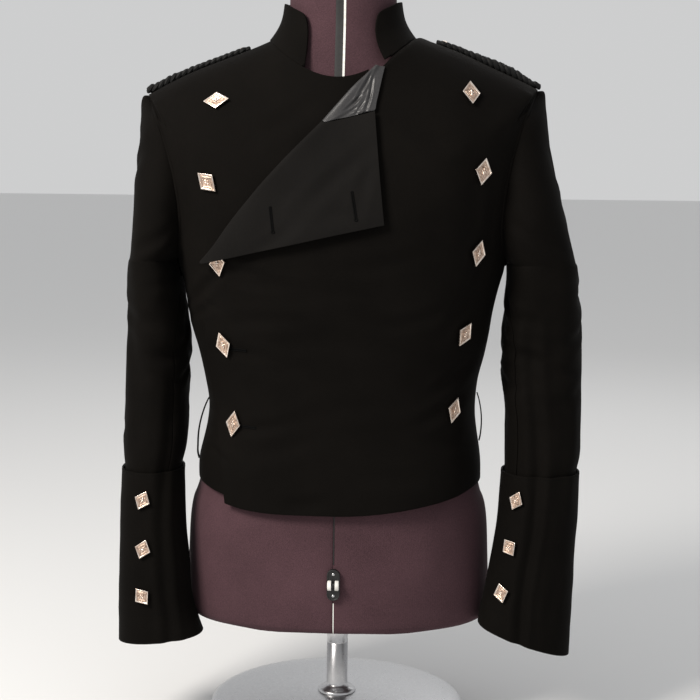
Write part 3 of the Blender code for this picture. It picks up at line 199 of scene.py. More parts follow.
def clothFinish(name):
    cfg = finishes[name]
    material = bpy.data.materials.new(name)
    material.use_nodes = True
    tree = material.node_tree
    shader = tree.nodes["Principled BSDF"]
    shader.inputs["Sheen Weight"].default_value = cfg["sheen"]
    shader.inputs["Sheen Roughness"].default_value = 0.45
    shader.inputs["Sheen Tint"].default_value = (*cfg["sheenTint"], 1.0)
    shader.inputs["Specular IOR Level"].default_value = cfg["gloss"]
    layout = tree.nodes.new("ShaderNodeUVMap")
    layout.uv_map = "cloth"
    turn = add(tree, "ShaderNodeMapping", Rotation=(0, 0, math.radians(cfg["ribAngle"])))
    link(tree, layout.outputs["UV"], turn.inputs["Vector"])
    ribs = add(tree, "ShaderNodeTexWave", Scale=cfg["ribsPerMetre"] * 0.314, Distortion=0.6, Detail=1.0)
    link(tree, turn.outputs["Vector"], ribs.inputs["Vector"])
    crossed = add(tree, "ShaderNodeTexWave", Scale=cfg["ribsPerMetre"] * 0.24, Distortion=0.5)
    crossed.bands_direction = "Y"
    link(tree, turn.outputs["Vector"], crossed.inputs["Vector"])
    place = tree.nodes.new("ShaderNodeTexCoord")
    nap = add(tree, "ShaderNodeTexNoise", Scale=900.0, Detail=3.0)
    link(tree, place.outputs["Object"], nap.inputs["Vector"])
    cloudy = add(tree, "ShaderNodeTexNoise", Scale=11.0, Detail=3.0, Roughness=0.55)
    link(tree, place.outputs["Object"], cloudy.inputs["Vector"])
    lowered = add(tree, "ShaderNodeMapRange", To_Min=-0.9, To_Max=0.3)
    link(tree, cloudy.outputs["Fac"], lowered.inputs["Value"])
    fleck = combined(tree, "MULTIPLY_ADD", nap.outputs["Fac"], 1.6, lowered.outputs["Result"])
    deep = tuple(0.66 * part for part in cfg["colour"])
    pale = tuple(1.36 * part for part in cfg["colour"])
    link(tree, mixed(tree, fleck, deep, pale), shader.inputs["Base Color"])
    rough = add(tree, "ShaderNodeMapRange", To_Min=cfg["roughness"] - 0.07, To_Max=cfg["roughness"] + 0.08)
    link(tree, nap.outputs["Fac"], rough.inputs["Value"])
    link(tree, rough.outputs["Result"], shader.inputs["Roughness"])
    weave = combined(tree, "MULTIPLY", ribs.outputs["Fac"], crossed.outputs["Fac"])
    fuzz = combined(tree, "MULTIPLY_ADD", nap.outputs["Fac"], 0.55, weave)
    bump = add(tree, "ShaderNodeBump", Strength=0.75, Distance=cfg["ribDepth"])
    link(tree, fuzz, bump.inputs["Height"])
    link(tree, bump.outputs["Normal"], shader.inputs["Normal"])
    return material


hardFinishes = {
    "buttonMetal": {"colour": (0.88, 0.78, 0.70), "tarnish": (0.62, 0.46, 0.36), "metal": 1.0,
                    "roughness": 0.22, "grain": 210.0, "dent": 0.00006},
    "buttonGround": {"colour": (0.66, 0.50, 0.40), "tarnish": (0.16, 0.10, 0.07), "metal": 1.0,
                     "roughness": 0.34, "grain": 420.0, "dent": 0.00014},
    "steel": {"colour": (0.58, 0.58, 0.59), "tarnish": (0.52, 0.52, 0.53), "metal": 1.0,
              "roughness": 0.27, "grain": 320.0, "dent": 0.00001},
    "blackPlastic": {"colour": (0.003, 0.003, 0.003), "tarnish": (0.007, 0.007, 0.007), "metal": 0.0,
                     "roughness": 0.48, "grain": 300.0, "dent": 0.00002},
    "ivory": {"colour": (0.80, 0.79, 0.76), "tarnish": (0.62, 0.60, 0.55), "metal": 0.0,
              "roughness": 0.40, "grain": 200.0, "dent": 0.00002},
}


def hardFinish(name):
    cfg = hardFinishes[name]
    material = bpy.data.materials.new(name)
    material.use_nodes = True
    tree = material.node_tree
    shader = tree.nodes["Principled BSDF"]
    shader.inputs["Metallic"].default_value = cfg["metal"]
    place = tree.nodes.new("ShaderNodeTexCoord")
    grain = add(tree, "ShaderNodeTexNoise", Scale=cfg["grain"], Detail=4.0, Roughness=0.6)
    link(tree, place.outputs["Object"], grain.inputs["Vector"])
    spread = add(tree, "ShaderNodeMapRange", From_Min=0.42, From_Max=0.72)
    link(tree, grain.outputs["Fac"], spread.inputs["Value"])
    colour = mixed(tree, spread.outputs["Result"], cfg["colour"], cfg["tarnish"])
    link(tree, colour, shader.inputs["Base Color"])
    rough = add(tree, "ShaderNodeMapRange", To_Min=cfg["roughness"] - 0.06, To_Max=cfg["roughness"] + 0.12)
    link(tree, grain.outputs["Fac"], rough.inputs["Value"])
    link(tree, rough.outputs["Result"], shader.inputs["Roughness"])
    bump = add(tree, "ShaderNodeBump", Strength=0.5, Distance=cfg["dent"])
    link(tree, grain.outputs["Fac"], bump.inputs["Height"])
    link(tree, bump.outputs["Normal"], shader.inputs["Normal"])
    return material


cloths = {name: clothFinish(name) for name in finishes}
metals = {name: hardFinish(name) for name in hardFinishes}
print("materials are ready")


# working on a piece

def ease(value):
    value = np.clip(value, 0.0, 1.0)
    return value * value * (3.0 - 2.0 * value)


def onlySelect(piece):
    bpy.ops.object.select_all(action="DESELECT")
    bpy.context.view_layer.objects.active = piece
    piece.select_set(True)


def applied(piece, kind, **values):
    onlySelect(piece)
    step = piece.modifiers.new("step", kind)
    for key, value in values.items():
        setattr(step, key, value)
    bpy.ops.object.modifier_apply(modifier=step.name)


def newPiece(name, mesh):
    piece = bpy.data.objects.new(name, mesh)
    bpy.context.scene.collection.objects.link(piece)
    return piece


def smoothed(piece):
    applied(piece, "SUBSURF", levels=1, render_levels=1)


def readPoints(piece):
    points = np.empty(len(piece.data.vertices) * 3)
    piece.data.vertices.foreach_get("co", points)
    return points.reshape(-1, 3)


def writePoints(piece, points):
    piece.data.vertices.foreach_set("co", points.ravel())
    piece.data.update()


def refined(piece, rounds):
    # smooths between the cloth's own points, and still passes through them
    wanted = readPoints(piece)
    cage = wanted.copy()
    for _ in range(3):
        trial = piece.copy()
        trial.data = piece.data.copy()
        bpy.context.scene.collection.objects.link(trial)
        writePoints(trial, cage)
        smoothed(trial)
        reached = readPoints(trial)[:len(cage)]
        bpy.data.objects.remove(trial, do_unlink=True)
        cage = cage + 0.9 * (wanted - reached)
    writePoints(piece, cage)
    applied(piece, "SUBSURF", levels=rounds, render_levels=rounds)


def clothCopy(node, name, rounds=2, corner=50):
    # the node's own form as quads, its rims kept sharp, refined
    mesh = nodes[node].data.copy()
    mesh.materials.clear()
    piece = newPiece(name, mesh)
    onlySelect(piece)
    bpy.ops.object.mode_set(mode="EDIT")
    bpy.ops.mesh.select_mode(type="EDGE")
    bpy.ops.mesh.select_all(action="SELECT")
    bpy.ops.mesh.remove_doubles(threshold=0.00004)
    bpy.ops.mesh.tris_convert_to_quads(face_threshold=math.radians(48), shape_threshold=math.radians(80))
    bpy.ops.mesh.select_all(action="DESELECT")
    bpy.ops.mesh.edges_select_sharp(sharpness=math.radians(corner))
    bpy.ops.transform.edge_crease(value=1.0)
    bpy.ops.object.mode_set(mode="OBJECT")
    refined(piece, rounds)
    return piece


def sharpVertices(piece, degrees=50):
    # the corners of rims, which smoothing leaves alone
    shape = bmesh.new()
    shape.from_mesh(piece.data)
    held = np.zeros(len(shape.verts), dtype=bool)
    limit = math.radians(degrees)
    for edge in shape.edges:
        if len(edge.link_faces) != 2 or edge.calc_face_angle(0.0) > limit:
            for vertex in edge.verts:
                held[vertex.index] = True
    shape.free()
    return held


def relaxed(piece, rounds):
    # evens out the cloth without shrinking it
    edges = np.empty(len(piece.data.edges) * 2, dtype=np.int64)
    piece.data.edges.foreach_get("vertices", edges)
    edges = edges.reshape(-1, 2)
    points = readPoints(piece)
    held = sharpVertices(piece)
    count = np.bincount(edges.ravel(), minlength=len(points))[:, None]
    for index in range(2 * rounds):
        total = np.zeros_like(points)
        np.add.at(total, edges[:, 0], points[edges[:, 1]])
        np.add.at(total, edges[:, 1], points[edges[:, 0]])
        move = (total / np.maximum(count, 1) - points) * (0.55 if index % 2 == 0 else -0.57)
        move[held] = 0.0
        points = points + move
    writePoints(piece, points)


def troughs(along, across, length, width):
    # a trough with a low ridge on each side, fading to its ends
    t = across / width
    profile = np.exp(-t ** 2) - 0.34 * np.exp(-((np.abs(t) - 1.9) / 0.75) ** 2)
    return profile * np.exp(-(np.abs(along / length)) ** 2.6)


def ripple(points, size, seed):
    # a slow unevenness, from minus one to one
    dice = np.random.default_rng(seed)
    total = np.zeros(len(points))
    for _ in range(7):
        way = dice.normal(size=3)
        way /= np.linalg.norm(way)
        wave = size * dice.uniform(0.6, 1.6)
        total += np.sin(points @ way * (2.0 * math.pi / wave) + dice.uniform(0.0, 6.28))
    return total / 7.0 * 1.6


def wrapCloth(piece, centre, radius):
    # the weave's layout: round the piece and up it, in metres
    mesh = piece.data
    points = readPoints(piece)
    around = np.arctan2(points[:, 0] - centre[0], centre[1] - points[:, 1])
    corner = np.empty(len(mesh.loops), dtype=np.int64)
    mesh.loops.foreach_get("vertex_index", corner)
    sizes = np.empty(len(mesh.polygons), dtype=np.int64)
    mesh.polygons.foreach_get("loop_total", sizes)
    starts = np.empty(len(mesh.polygons), dtype=np.int64)
    mesh.polygons.foreach_get("loop_start", starts)
    first = around[corner[np.repeat(starts, sizes)]]
    turn = around[corner]
    turn = first + (turn - first + math.pi) % (2.0 * math.pi) - math.pi
    layout = mesh.uv_layers.new(name="cloth")
    flat = np.stack([turn * radius, points[corner, 2]], axis=1)
    layout.data.foreach_set("uv", flat.ravel())


def lineInside(piece, outward, outer, inner):
    # the lining shows on faces that look inwards
    piece.data.materials.append(outer)
    piece.data.materials.append(inner)
    normals = np.empty(len(piece.data.polygons) * 3)
    piece.data.polygons.foreach_get("normal", normals)
    middles = np.empty(len(piece.data.polygons) * 3)
    piece.data.polygons.foreach_get("center", middles)
    facing = (normals.reshape(-1, 3) * outward(middles.reshape(-1, 3))).sum(axis=1)
    piece.data.polygons.foreach_set("material_index", (facing < -0.3).astype(np.int32))


def finishPiece(piece, slot, *replaced):
    onlySelect(piece)
    bpy.ops.object.shade_smooth_by_angle(angle=math.radians(42))
    if replaced:
        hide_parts(*replaced)
    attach(piece, "root")


def dress(piece, radius, cloth, slot, *replaced):
    # one cloth all over, its weave laid round the body's middle
    wrapCloth(piece, (0.0, 0.0), radius)
    piece.data.materials.append(cloths[cloth])
    finishPiece(piece, slot, *replaced)


# creases of the body

bodyShape = {"side": 0.19, "front": 0.12, "creaseDepth": 1.4}

# middle x and height, degrees from level, half length, half width, depth
frontCreases = [
    (-0.110, 0.530, -7, 0.040, 0.0050, 0.0016),
    (-0.092, 0.517, -12, 0.048, 0.0065, 0.0013),
    (-0.150, 0.505, 42, 0.030, 0.0060, 0.0022),
    (-0.158, 0.478, 24, 0.022, 0.0050, 0.0018),
    (-0.140, 0.488, -24, 0.015, 0.0028, 0.0013),
    (-0.086, 0.474, 5, 0.050, 0.0075, 0.0012),
    (-0.100, 0.437, -5, 0.046, 0.0060, 0.0012),
    (-0.073, 0.422, -10, 0.038, 0.0080, 0.0010),
    (-0.010, 0.505, 3, 0.060, 0.0090, 0.0008),
    (0.012, 0.452, -5, 0.075, 0.0100, 0.0009),
    (0.050, 0.536, 10, 0.048, 0.0080, 0.0008),
    (0.085, 0.475, 12, 0.040, 0.0070, 0.0010),
    (-0.088, 0.352, 8, 0.036, 0.0060, 0.0012),
    (-0.060, 0.330, 14, 0.042, 0.0085, 0.0010),
    (-0.137, 0.319, -24, 0.016, 0.0040, 0.0014),
    (-0.030, 0.270, 4, 0.024, 0.0070, 0.0015),
    (0.060, 0.300, -6, 0.050, 0.0090, 0.0009),
    (0.118, 0.372, 28, 0.030, 0.0065, 0.0016),
    (0.130, 0.408, 36, 0.026, 0.0060, 0.0014),
    (0.146, 0.500, 62, 0.040, 0.0065, 0.0018),
    (0.166, 0.560, 74, 0.050, 0.0070, 0.0016),
    (-0.165, 0.590, -76, 0.050, 0.0070, 0.0014),
    (-0.060, 0.690, 30, 0.040, 0.0090, 0.0008),
    (0.090, 0.680, -26, 0.044, 0.0090, 0.0009),
    (0.130, 0.335, -14, 0.026, 0.0060, 0.0012),
    (0.020, 0.380, 7, 0.060, 0.0100, 0.0008),
]
backCreases = [
    (0.000, 0.362, 0, 0.075, 0.0070, 0.0020),
    (-0.030, 0.385, 6, 0.060, 0.0065, 0.0014),
    (0.045, 0.398, -8, 0.052, 0.0060, 0.0015),
    (0.086, 0.420, 28, 0.046, 0.0065, 0.0018),
    (-0.092, 0.430, -24, 0.044, 0.0070, 0.0019),
    (-0.110, 0.392, -12, 0.034, 0.0055, 0.0014),
    (0.112, 0.384, 16, 0.034, 0.0055, 0.0015),
    (0.130, 0.560, 66, 0.055, 0.0075, 0.0020),
    (-0.134, 0.572, -70, 0.052, 0.0075, 0.0021),
    (0.150, 0.520, 50, 0.030, 0.0060, 0.0015),
    (-0.152, 0.530, -46, 0.030, 0.0060, 0.0015),
    (0.000, 0.750, 3, 0.052, 0.0065, 0.0014),
    (0.018, 0.730, -5, 0.040, 0.0060, 0.0010),
    (0.070, 0.640, 20, 0.050, 0.0090, 0.0009),
    (-0.072, 0.655, -16, 0.048, 0.0090, 0.0009),
    (0.052, 0.310, 8, 0.040, 0.0070, 0.0012),
    (-0.058, 0.318, -10, 0.038, 0.0065, 0.0012),
]


def bodyOutward(points):
    way = np.stack([points[:, 0] / bodyShape["side"] ** 2, points[:, 1] / bodyShape["front"] ** 2,
                    np.zeros(len(points))], axis=1)
    return way / np.maximum(np.linalg.norm(way, axis=1), 1e-9)[:, None]


buttonSpots = []
for label in nodes:
    if "button" in label and "cord" not in label:
        low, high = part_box(label)
        buttonSpots.append([0.5 * (low[axis] + high[axis]) for axis in range(3)])
buttonSpots = np.array(buttonSpots)


def clearOfButtons(points):
    # 1 away from the buttons, 0 under them, so that they stay seated
    share = np.ones(len(points))
    for spot in buttonSpots:
        away = np.linalg.norm(points - spot, axis=1)
        share = np.minimum(share, ease((away - 0.008) / 0.012))
    return share


def seamPoints(firsts, second, reach=0.0034):
    # points on the edges of some solids that lie along another
    mesh = nodes[second].data
    corners = [vertex.co for vertex in mesh.vertices]
    skin = BVHTree.FromPolygons(corners, [face.vertices for face in mesh.polygons])
    found = []
    for label in firsts:
        corners = nodes[label].data.vertices
        for edge in nodes[label].data.edges:
            start, end = (corners[index].co for index in edge.vertices)
            count = max(1, int((end - start).length / 0.002))
            for step in range(count):
                spot = start.lerp(end, step / count)
                if skin.find_nearest(spot, reach)[0] is not None:
                    found.append(spot)
    return found


armholes = {}
for side in ("right", "left"):
    spots = seamPoints(["front_" + side, "back_" + side], "topsleeve_" + side)
    armholes[side] = [spot for spot in spots if spot.z > 0.520]
neckSeam = seamPoints(["collar"], "front_right") + seamPoints(["collar"], "front_left")
neckSeam += seamPoints(["collar"], "back_right") + seamPoints(["collar"], "back_left")
sewn = KDTree(len(armholes["right"]) + len(armholes["left"]) + len(neckSeam))
for index, spot in enumerate(armholes["right"] + armholes["left"] + neckSeam):
    sewn.insert(spot, index)
sewn.balance()


def clearOfSeams(points):
    away = np.array([sewn.find(point)[2] for point in points])
    return ease((away - 0.006) / 0.016)


def pressBody(piece, seed, rough=0.00035):
    points = readPoints(piece)
    press = np.zeros(len(points))
    for creases, sign in ((frontCreases, -1.0), (backCreases, 1.0)):
        fade = ease(sign * points[:, 1] / 0.045)
        for x, z, turn, length, width, depth in creases:
            c, s = math.cos(math.radians(turn)), math.sin(math.radians(turn))
            along = (points[:, 0] - x) * c + (points[:, 2] - z) * s
            across = (points[:, 2] - z) * c - (points[:, 0] - x) * s
            across = across + 2.2 * along ** 2 * (1.0 if turn % 2 else -1.0)
            press += bodyShape["creaseDepth"] * depth * troughs(along, across, length, width) * fade
    press += rough * ripple(points, 0.070, seed) + 0.4 * rough * ripple(points, 0.028, seed + 1)
    press *= clearOfButtons(points) * clearOfSeams(points)
    writePoints(piece, points - bodyOutward(points) * press[:, None])


# fronts and backs

panels = {
    "frontRight": {"node": "front_right", "smooth": 10, "seed": 3, "flat": (0.34, 0.56), "area": 0.168},
    "frontLeft": {"node": "front_left", "smooth": 10, "seed": 5, "flat": (0.42, 0.56), "area": 0.173},
    "backRight": {"node": "back_right", "smooth": 10, "seed": 7, "flat": (0.26, 0.54), "area": 0.122},
    "backLeft": {"node": "back_left", "smooth": 10, "seed": 9, "flat": (0.26, 0.54), "area": 0.123},
}


def softEdges(piece, width=0.0005):
    applied(piece, "BEVEL", width=width, segments=2, limit_method="ANGLE", angle_limit=math.radians(50))


panelPieces = {}
for name, cfg in panels.items():
    piece = clothCopy(cfg["node"], name)
    relaxed(piece, cfg["smooth"])
    smoothed(piece)
    pressBody(piece, cfg["seed"])
    softEdges(piece)
    wrapCloth(piece, (0.0, 0.0), 0.15)
    lineInside(piece, bodyOutward, cloths["wool"], cloths["lining"])
    finishPiece(piece, "wool", cfg["node"])
    panelPieces[name] = piece
print("fronts and backs are hung")


# sleeves and cuffs

# height in the frame, and where the middle of a sleeve runs there
sleeveLine = {
    "creaseDepth": 1.3,
    "heights": [0.100, 0.160, 0.235, 0.300, 0.360, 0.420, 0.500, 0.620, 0.740],
    "forwards": [-0.0705, -0.0640, -0.0490, -0.0335, -0.0230, -0.0140, -0.0110, -0.0110, 0.0],
    "rightOut": [0.2005, 0.2085, 0.2128, 0.2140, 0.2120, 0.2108, 0.2130, 0.2150, 0.2200],
    "leftOut": [0.2160, 0.2200, 0.2304, 0.2340, 0.2350, 0.2336, 0.2330, 0.2250, 0.2220],
}

# degrees from the outer side towards the front, height, rise for each 90 degrees, half length in
# degrees, half width, depth
sleeveCreases = {
    "right": [
        (28, 0.672, -0.020, 34, 0.0080, 0.0022),
        (60, 0.640, 0.045, 30, 0.0075, 0.0018),
        (100, 0.560, 0.060, 34, 0.0070, 0.0020),
        (128, 0.520, 0.050, 30, 0.0060, 0.0022),
        (70, 0.470, -0.030, 36, 0.0080, 0.0018),
        (120, 0.430, 0.026, 38, 0.0070, 0.0022),
        (140, 0.398, 0.020, 34, 0.0060, 0.0024),
        (96, 0.405, -0.020, 30, 0.0070, 0.0014),
        (105, 0.352, 0.018, 34, 0.0060, 0.0014),
        (-100, 0.372, -0.024, 40, 0.0070, 0.0028),
        (-118, 0.350, -0.030, 36, 0.0065, 0.0024),
        (-80, 0.345, -0.014, 34, 0.0075, 0.0018),
        (-60, 0.560, 0.050, 40, 0.0090, 0.0018),
        (-110, 0.470, 0.040, 34, 0.0080, 0.0018),
        (10, 0.340, 0.010, 30, 0.0070, 0.0012),
        (170, 0.462, 0.020, 40, 0.0080, 0.0022),
        (-150, 0.410, -0.020, 40, 0.0080, 0.0020),
    ],
    "left": [
        (45, 0.640, 0.050, 34, 0.0080, 0.0016),
        (108, 0.575, 0.070, 32, 0.0070, 0.0018),
        (60, 0.520, 0.030, 34, 0.0090, 0.0018),
        (20, 0.498, -0.016, 34, 0.0080, 0.0022),
        (134, 0.480, 0.040, 36, 0.0070, 0.0024),
        (44, 0.452, -0.030, 36, 0.0070, 0.0020),
        (120, 0.434, 0.026, 38, 0.0065, 0.0024),
        (70, 0.416, 0.016, 30, 0.0060, 0.0018),
        (150, 0.398, 0.020, 34, 0.0060, 0.0024),
        (64, 0.380, -0.018, 34, 0.0075, 0.0016),
        (100, 0.352, 0.014, 34, 0.0060, 0.0014),
        (-96, 0.366, -0.024, 40, 0.0070, 0.0028),
        (-116, 0.346, -0.030, 36, 0.0065, 0.0022),
        (-70, 0.560, 0.050, 40, 0.0090, 0.0018),
        (-105, 0.480, 0.034, 34, 0.0080, 0.0018),
        (172, 0.470, 0.020, 40, 0.0080, 0.0022),
        (-150, 0.420, -0.020, 40, 0.0080, 0.0020),
    ],
}

# pressed and hanging folds that run down a sleeve: degrees at the top and at the bottom, top and
# bottom height, half width in degrees, depth
longFolds = {
    "right": [
        (118, 112, 0.420, 0.090, 8.0, 0.0022),
        (62, 74, 0.560, 0.330, 11.0, 0.0016),
        (12, 4, 0.640, 0.470, 10.0, 0.0014),
        (-64, -78, 0.600, 0.400, 12.0, 0.0016),
        (84, 90, 0.220, 0.120, 9.0, 0.0008),
        (-90, -96, 0.260, 0.110, 9.0, 0.0012),
    ],
    "left": [
        (104, 99, 0.500, 0.110, 8.0, 0.0042),
        (66, 60, 0.420, 0.260, 10.0, 0.0018),
        (30, 22, 0.620, 0.500, 12.0, 0.0014),
        (-66, -80, 0.600, 0.400, 12.0, 0.0016),
        (58, 52, 0.220, 0.130, 9.0, 0.0012),
        (-92, -98, 0.260, 0.110, 9.0, 0.0012),
    ],
}


def sleeveMiddle(points, side):
    out = sleeveLine["rightOut" if side < 0 else "leftOut"]
    x = side * np.interp(points[:, 2], sleeveLine["heights"], out)
    y = np.interp(points[:, 2], sleeveLine["heights"], sleeveLine["forwards"])
    return np.stack([x, y, points[:, 2]], axis=1)


def sleeveOutward(side):
    def outward(points):
        way = points - sleeveMiddle(points, side)
        return way / np.maximum(np.linalg.norm(way, axis=1), 1e-9)[:, None]
    return outward


def pressSleeve(piece, side, seed, rough=0.0005):
    points = readPoints(piece)
    middle = sleeveMiddle(points, side)
    degrees = np.degrees(np.arctan2(middle[:, 1] - points[:, 1], side * (points[:, 0] - middle[:, 0])))
    key = "right" if side < 0 else "left"
    press = np.zeros(len(points))
    for turn, height, rise, length, width, depth in sleeveCreases[key]:
        away = (degrees - turn + 180.0) % 360.0 - 180.0
        across = points[:, 2] - height - rise * away / 90.0 - 0.010 * (away / 45.0) ** 2
        press += sleeveLine["creaseDepth"] * depth * troughs(away, across, length, width)
    for high, low, top, bottom, width, depth in longFolds[key]:
        part = np.clip((top - points[:, 2]) / (top - bottom), 0.0, 1.0)
        turn = high + (low - high) * part + 3.0 * np.sin(9.0 * part)
        away = (degrees - turn + 180.0) % 360.0 - 180.0
        ends = ease((top - points[:, 2]) / 0.05) * ease((points[:, 2] - bottom + 0.02) / 0.04)
        press += depth * troughs(np.zeros(len(points)), away, 1.0, width) * ends
    press += rough * ripple(points, 0.060, seed) + 0.4 * rough * ripple(points, 0.026, seed + 1)
    press *= clearOfButtons(points) * clearOfSeams(points)
    press *= ease((0.722 - points[:, 2]) / 0.05)
    writePoints(piece, points - sleeveOutward(side)(points) * press[:, None])


sleeves = {
    "topSleeveRight": {"node": "topsleeve_right", "side": -1, "seed": 21, "flat": (0.25, 0.56), "area": 0.091},
    "topSleeveLeft": {"node": "topsleeve_left", "side": 1, "seed": 21, "flat": (0.27, 0.56), "area": 0.101},
    "underSleeveRight": {"node": "undersleeve_right", "side": -1, "seed": 21,
                         "flat": (0.12, 0.28), "area": 0.022},
    "underSleeveLeft": {"node": "undersleeve_left", "side": 1, "seed": 21,
                        "flat": (0.12, 0.28), "area": 0.022},
    "cuffRight": {"node": "cuff_right", "side": -1, "seed": 25, "flat": (0.28, 0.21), "area": 0.053},
    "cuffLeft": {"node": "cuff_left", "side": 1, "seed": 27, "flat": (0.31, 0.20), "area": 0.057},
}
sleevePieces = {}
for name, cfg in sleeves.items():
    side = cfg["side"]
    piece = clothCopy(cfg["node"], name)
    relaxed(piece, 8)
    if "cuff" in name:
        smoothed(piece)
    pressSleeve(piece, side, cfg["seed"])
    softEdges(piece)
    wrapCloth(piece, (side * 0.222, -0.02), 0.05)
    lineInside(piece, sleeveOutward(side), cloths["wool"], cloths["lining"])
    finishPiece(piece, "wool", cfg["node"])
    sleevePieces[name] = piece
print("sleeves and cuffs are set in")


# turned-back front, lining and collar

facing = {"node": "front_facing", "smooth": 2, "flat": (0.24, 0.20), "area": 0.020}
# middle x and height, degrees, half length, half width, depth
facingCreases = [
    (-0.030, 0.600, 46, 0.045, 0.0080, 0.0010),
    (0.010, 0.640, 40, 0.040, 0.0070, 0.0009),
    (-0.070, 0.560, 34, 0.030, 0.0060, 0.0008),
    (0.000, 0.590, 12, 0.040, 0.0080, 0.0008),
    (0.030, 0.620, 76, 0.030, 0.0060, 0.0008),
]


def pressFront(piece, creases, seed, rough):
    # creases on a piece that faces forwards
    points = readPoints(piece)
    press = np.zeros(len(points))
    for x, z, turn, length, width, depth in creases:
        c, s = math.cos(math.radians(turn)), math.sin(math.radians(turn))
        along = (points[:, 0] - x) * c + (points[:, 2] - z) * s
        across = (points[:, 2] - z) * c - (points[:, 0] - x) * s
        press += depth * troughs(along, across, length, width)
    press += rough * ripple(points, 0.055, seed)
    points[:, 1] += press
    writePoints(piece, points)


piece = clothCopy(facing["node"], "frontFacing", rounds=2, corner=75)
relaxed(piece, facing["smooth"])
smoothed(piece)
pressFront(piece, facingCreases, 31, 0.0003)
softEdges(piece)
# the turned-back front wears the wool painted lighter, as painted light
dress(piece, 0.15, "paintedLitWool", "wool", facing["node"])
facingPiece = piece

satinCrumples = [
    (0.026, 0.725, 62, 0.016, 0.0016, 0.0011),
    (0.018, 0.712, 44, 0.014, 0.0015, 0.0012),
    (0.033, 0.712, 74, 0.014, 0.0016, 0.0011),
    (0.012, 0.701, 30, 0.012, 0.0015, 0.0010),
    (0.029, 0.700, 8, 0.012, 0.0016, 0.0012),
    (0.036, 0.728, 82, 0.012, 0.0013, 0.0009),
    (0.004, 0.695, 24, 0.010, 0.0014, 0.0009),
    (0.020, 0.735, 40, 0.010, 0.0013, 0.0008),
    (0.034, 0.741, 66, 0.010, 0.0013, 0.0008),
    (0.024, 0.706, 56, 0.008, 0.0012, 0.0009),
]
piece = clothCopy("lapel_lining", "lapelLining", rounds=3, corner=75)
relaxed(piece, 2)
smoothed(piece)
pressFront(piece, satinCrumples, 37, 0.0003)
dress(piece, 0.15, "satin", "satin", "lapel_lining")

piece = clothCopy("collar", "collarStand", rounds=2)
relaxed(piece, 4)
smoothed(piece)
pressBody(piece, 41, 0.0002)
softEdges(piece, 0.0007)
wrapCloth(piece, (0.0, 0.0), 0.08)
lineInside(piece, bodyOutward, cloths["wool"], cloths["lining"])
finishPiece(piece, "wool", "collar")

# the loops are 6.2 mm wide, but a sheet's flat width is never under 10 mm, so the area gives the true cut
beltLoops = {
    "right": {"flat": (0.010, 0.087), "area": 0.00054},
    "left": {"flat": (0.010, 0.067), "area": 0.00042},
}
for side, cfg in beltLoops.items():
    piece = clothCopy("belt_loop_" + side, "beltLoop" + side.capitalize(), rounds=2)
    softEdges(piece, 0.0003)
    dress(piece, 0.15, "wool", "wool", "belt_loop_" + side)
print("turned-back front, lining, collar and loops are on")


# buttons

buttons = {
    "front": {"long": 0.0150, "short": 0.0105, "rim": 0.0012, "petal": 0.0034},
    "cuff": {"long": 0.0112, "short": 0.0094, "rim": 0.0010, "petal": 0.0026},
}


def topFace(piece):
    # selects the face that looks up and lies highest
    bpy.ops.object.mode_set(mode="OBJECT")
    best = max(piece.data.polygons, key=lambda face: face.center.z + face.normal.z)
    for face in piece.data.polygons:
        face.select = face.index == best.index
    bpy.ops.object.mode_set(mode="EDIT")


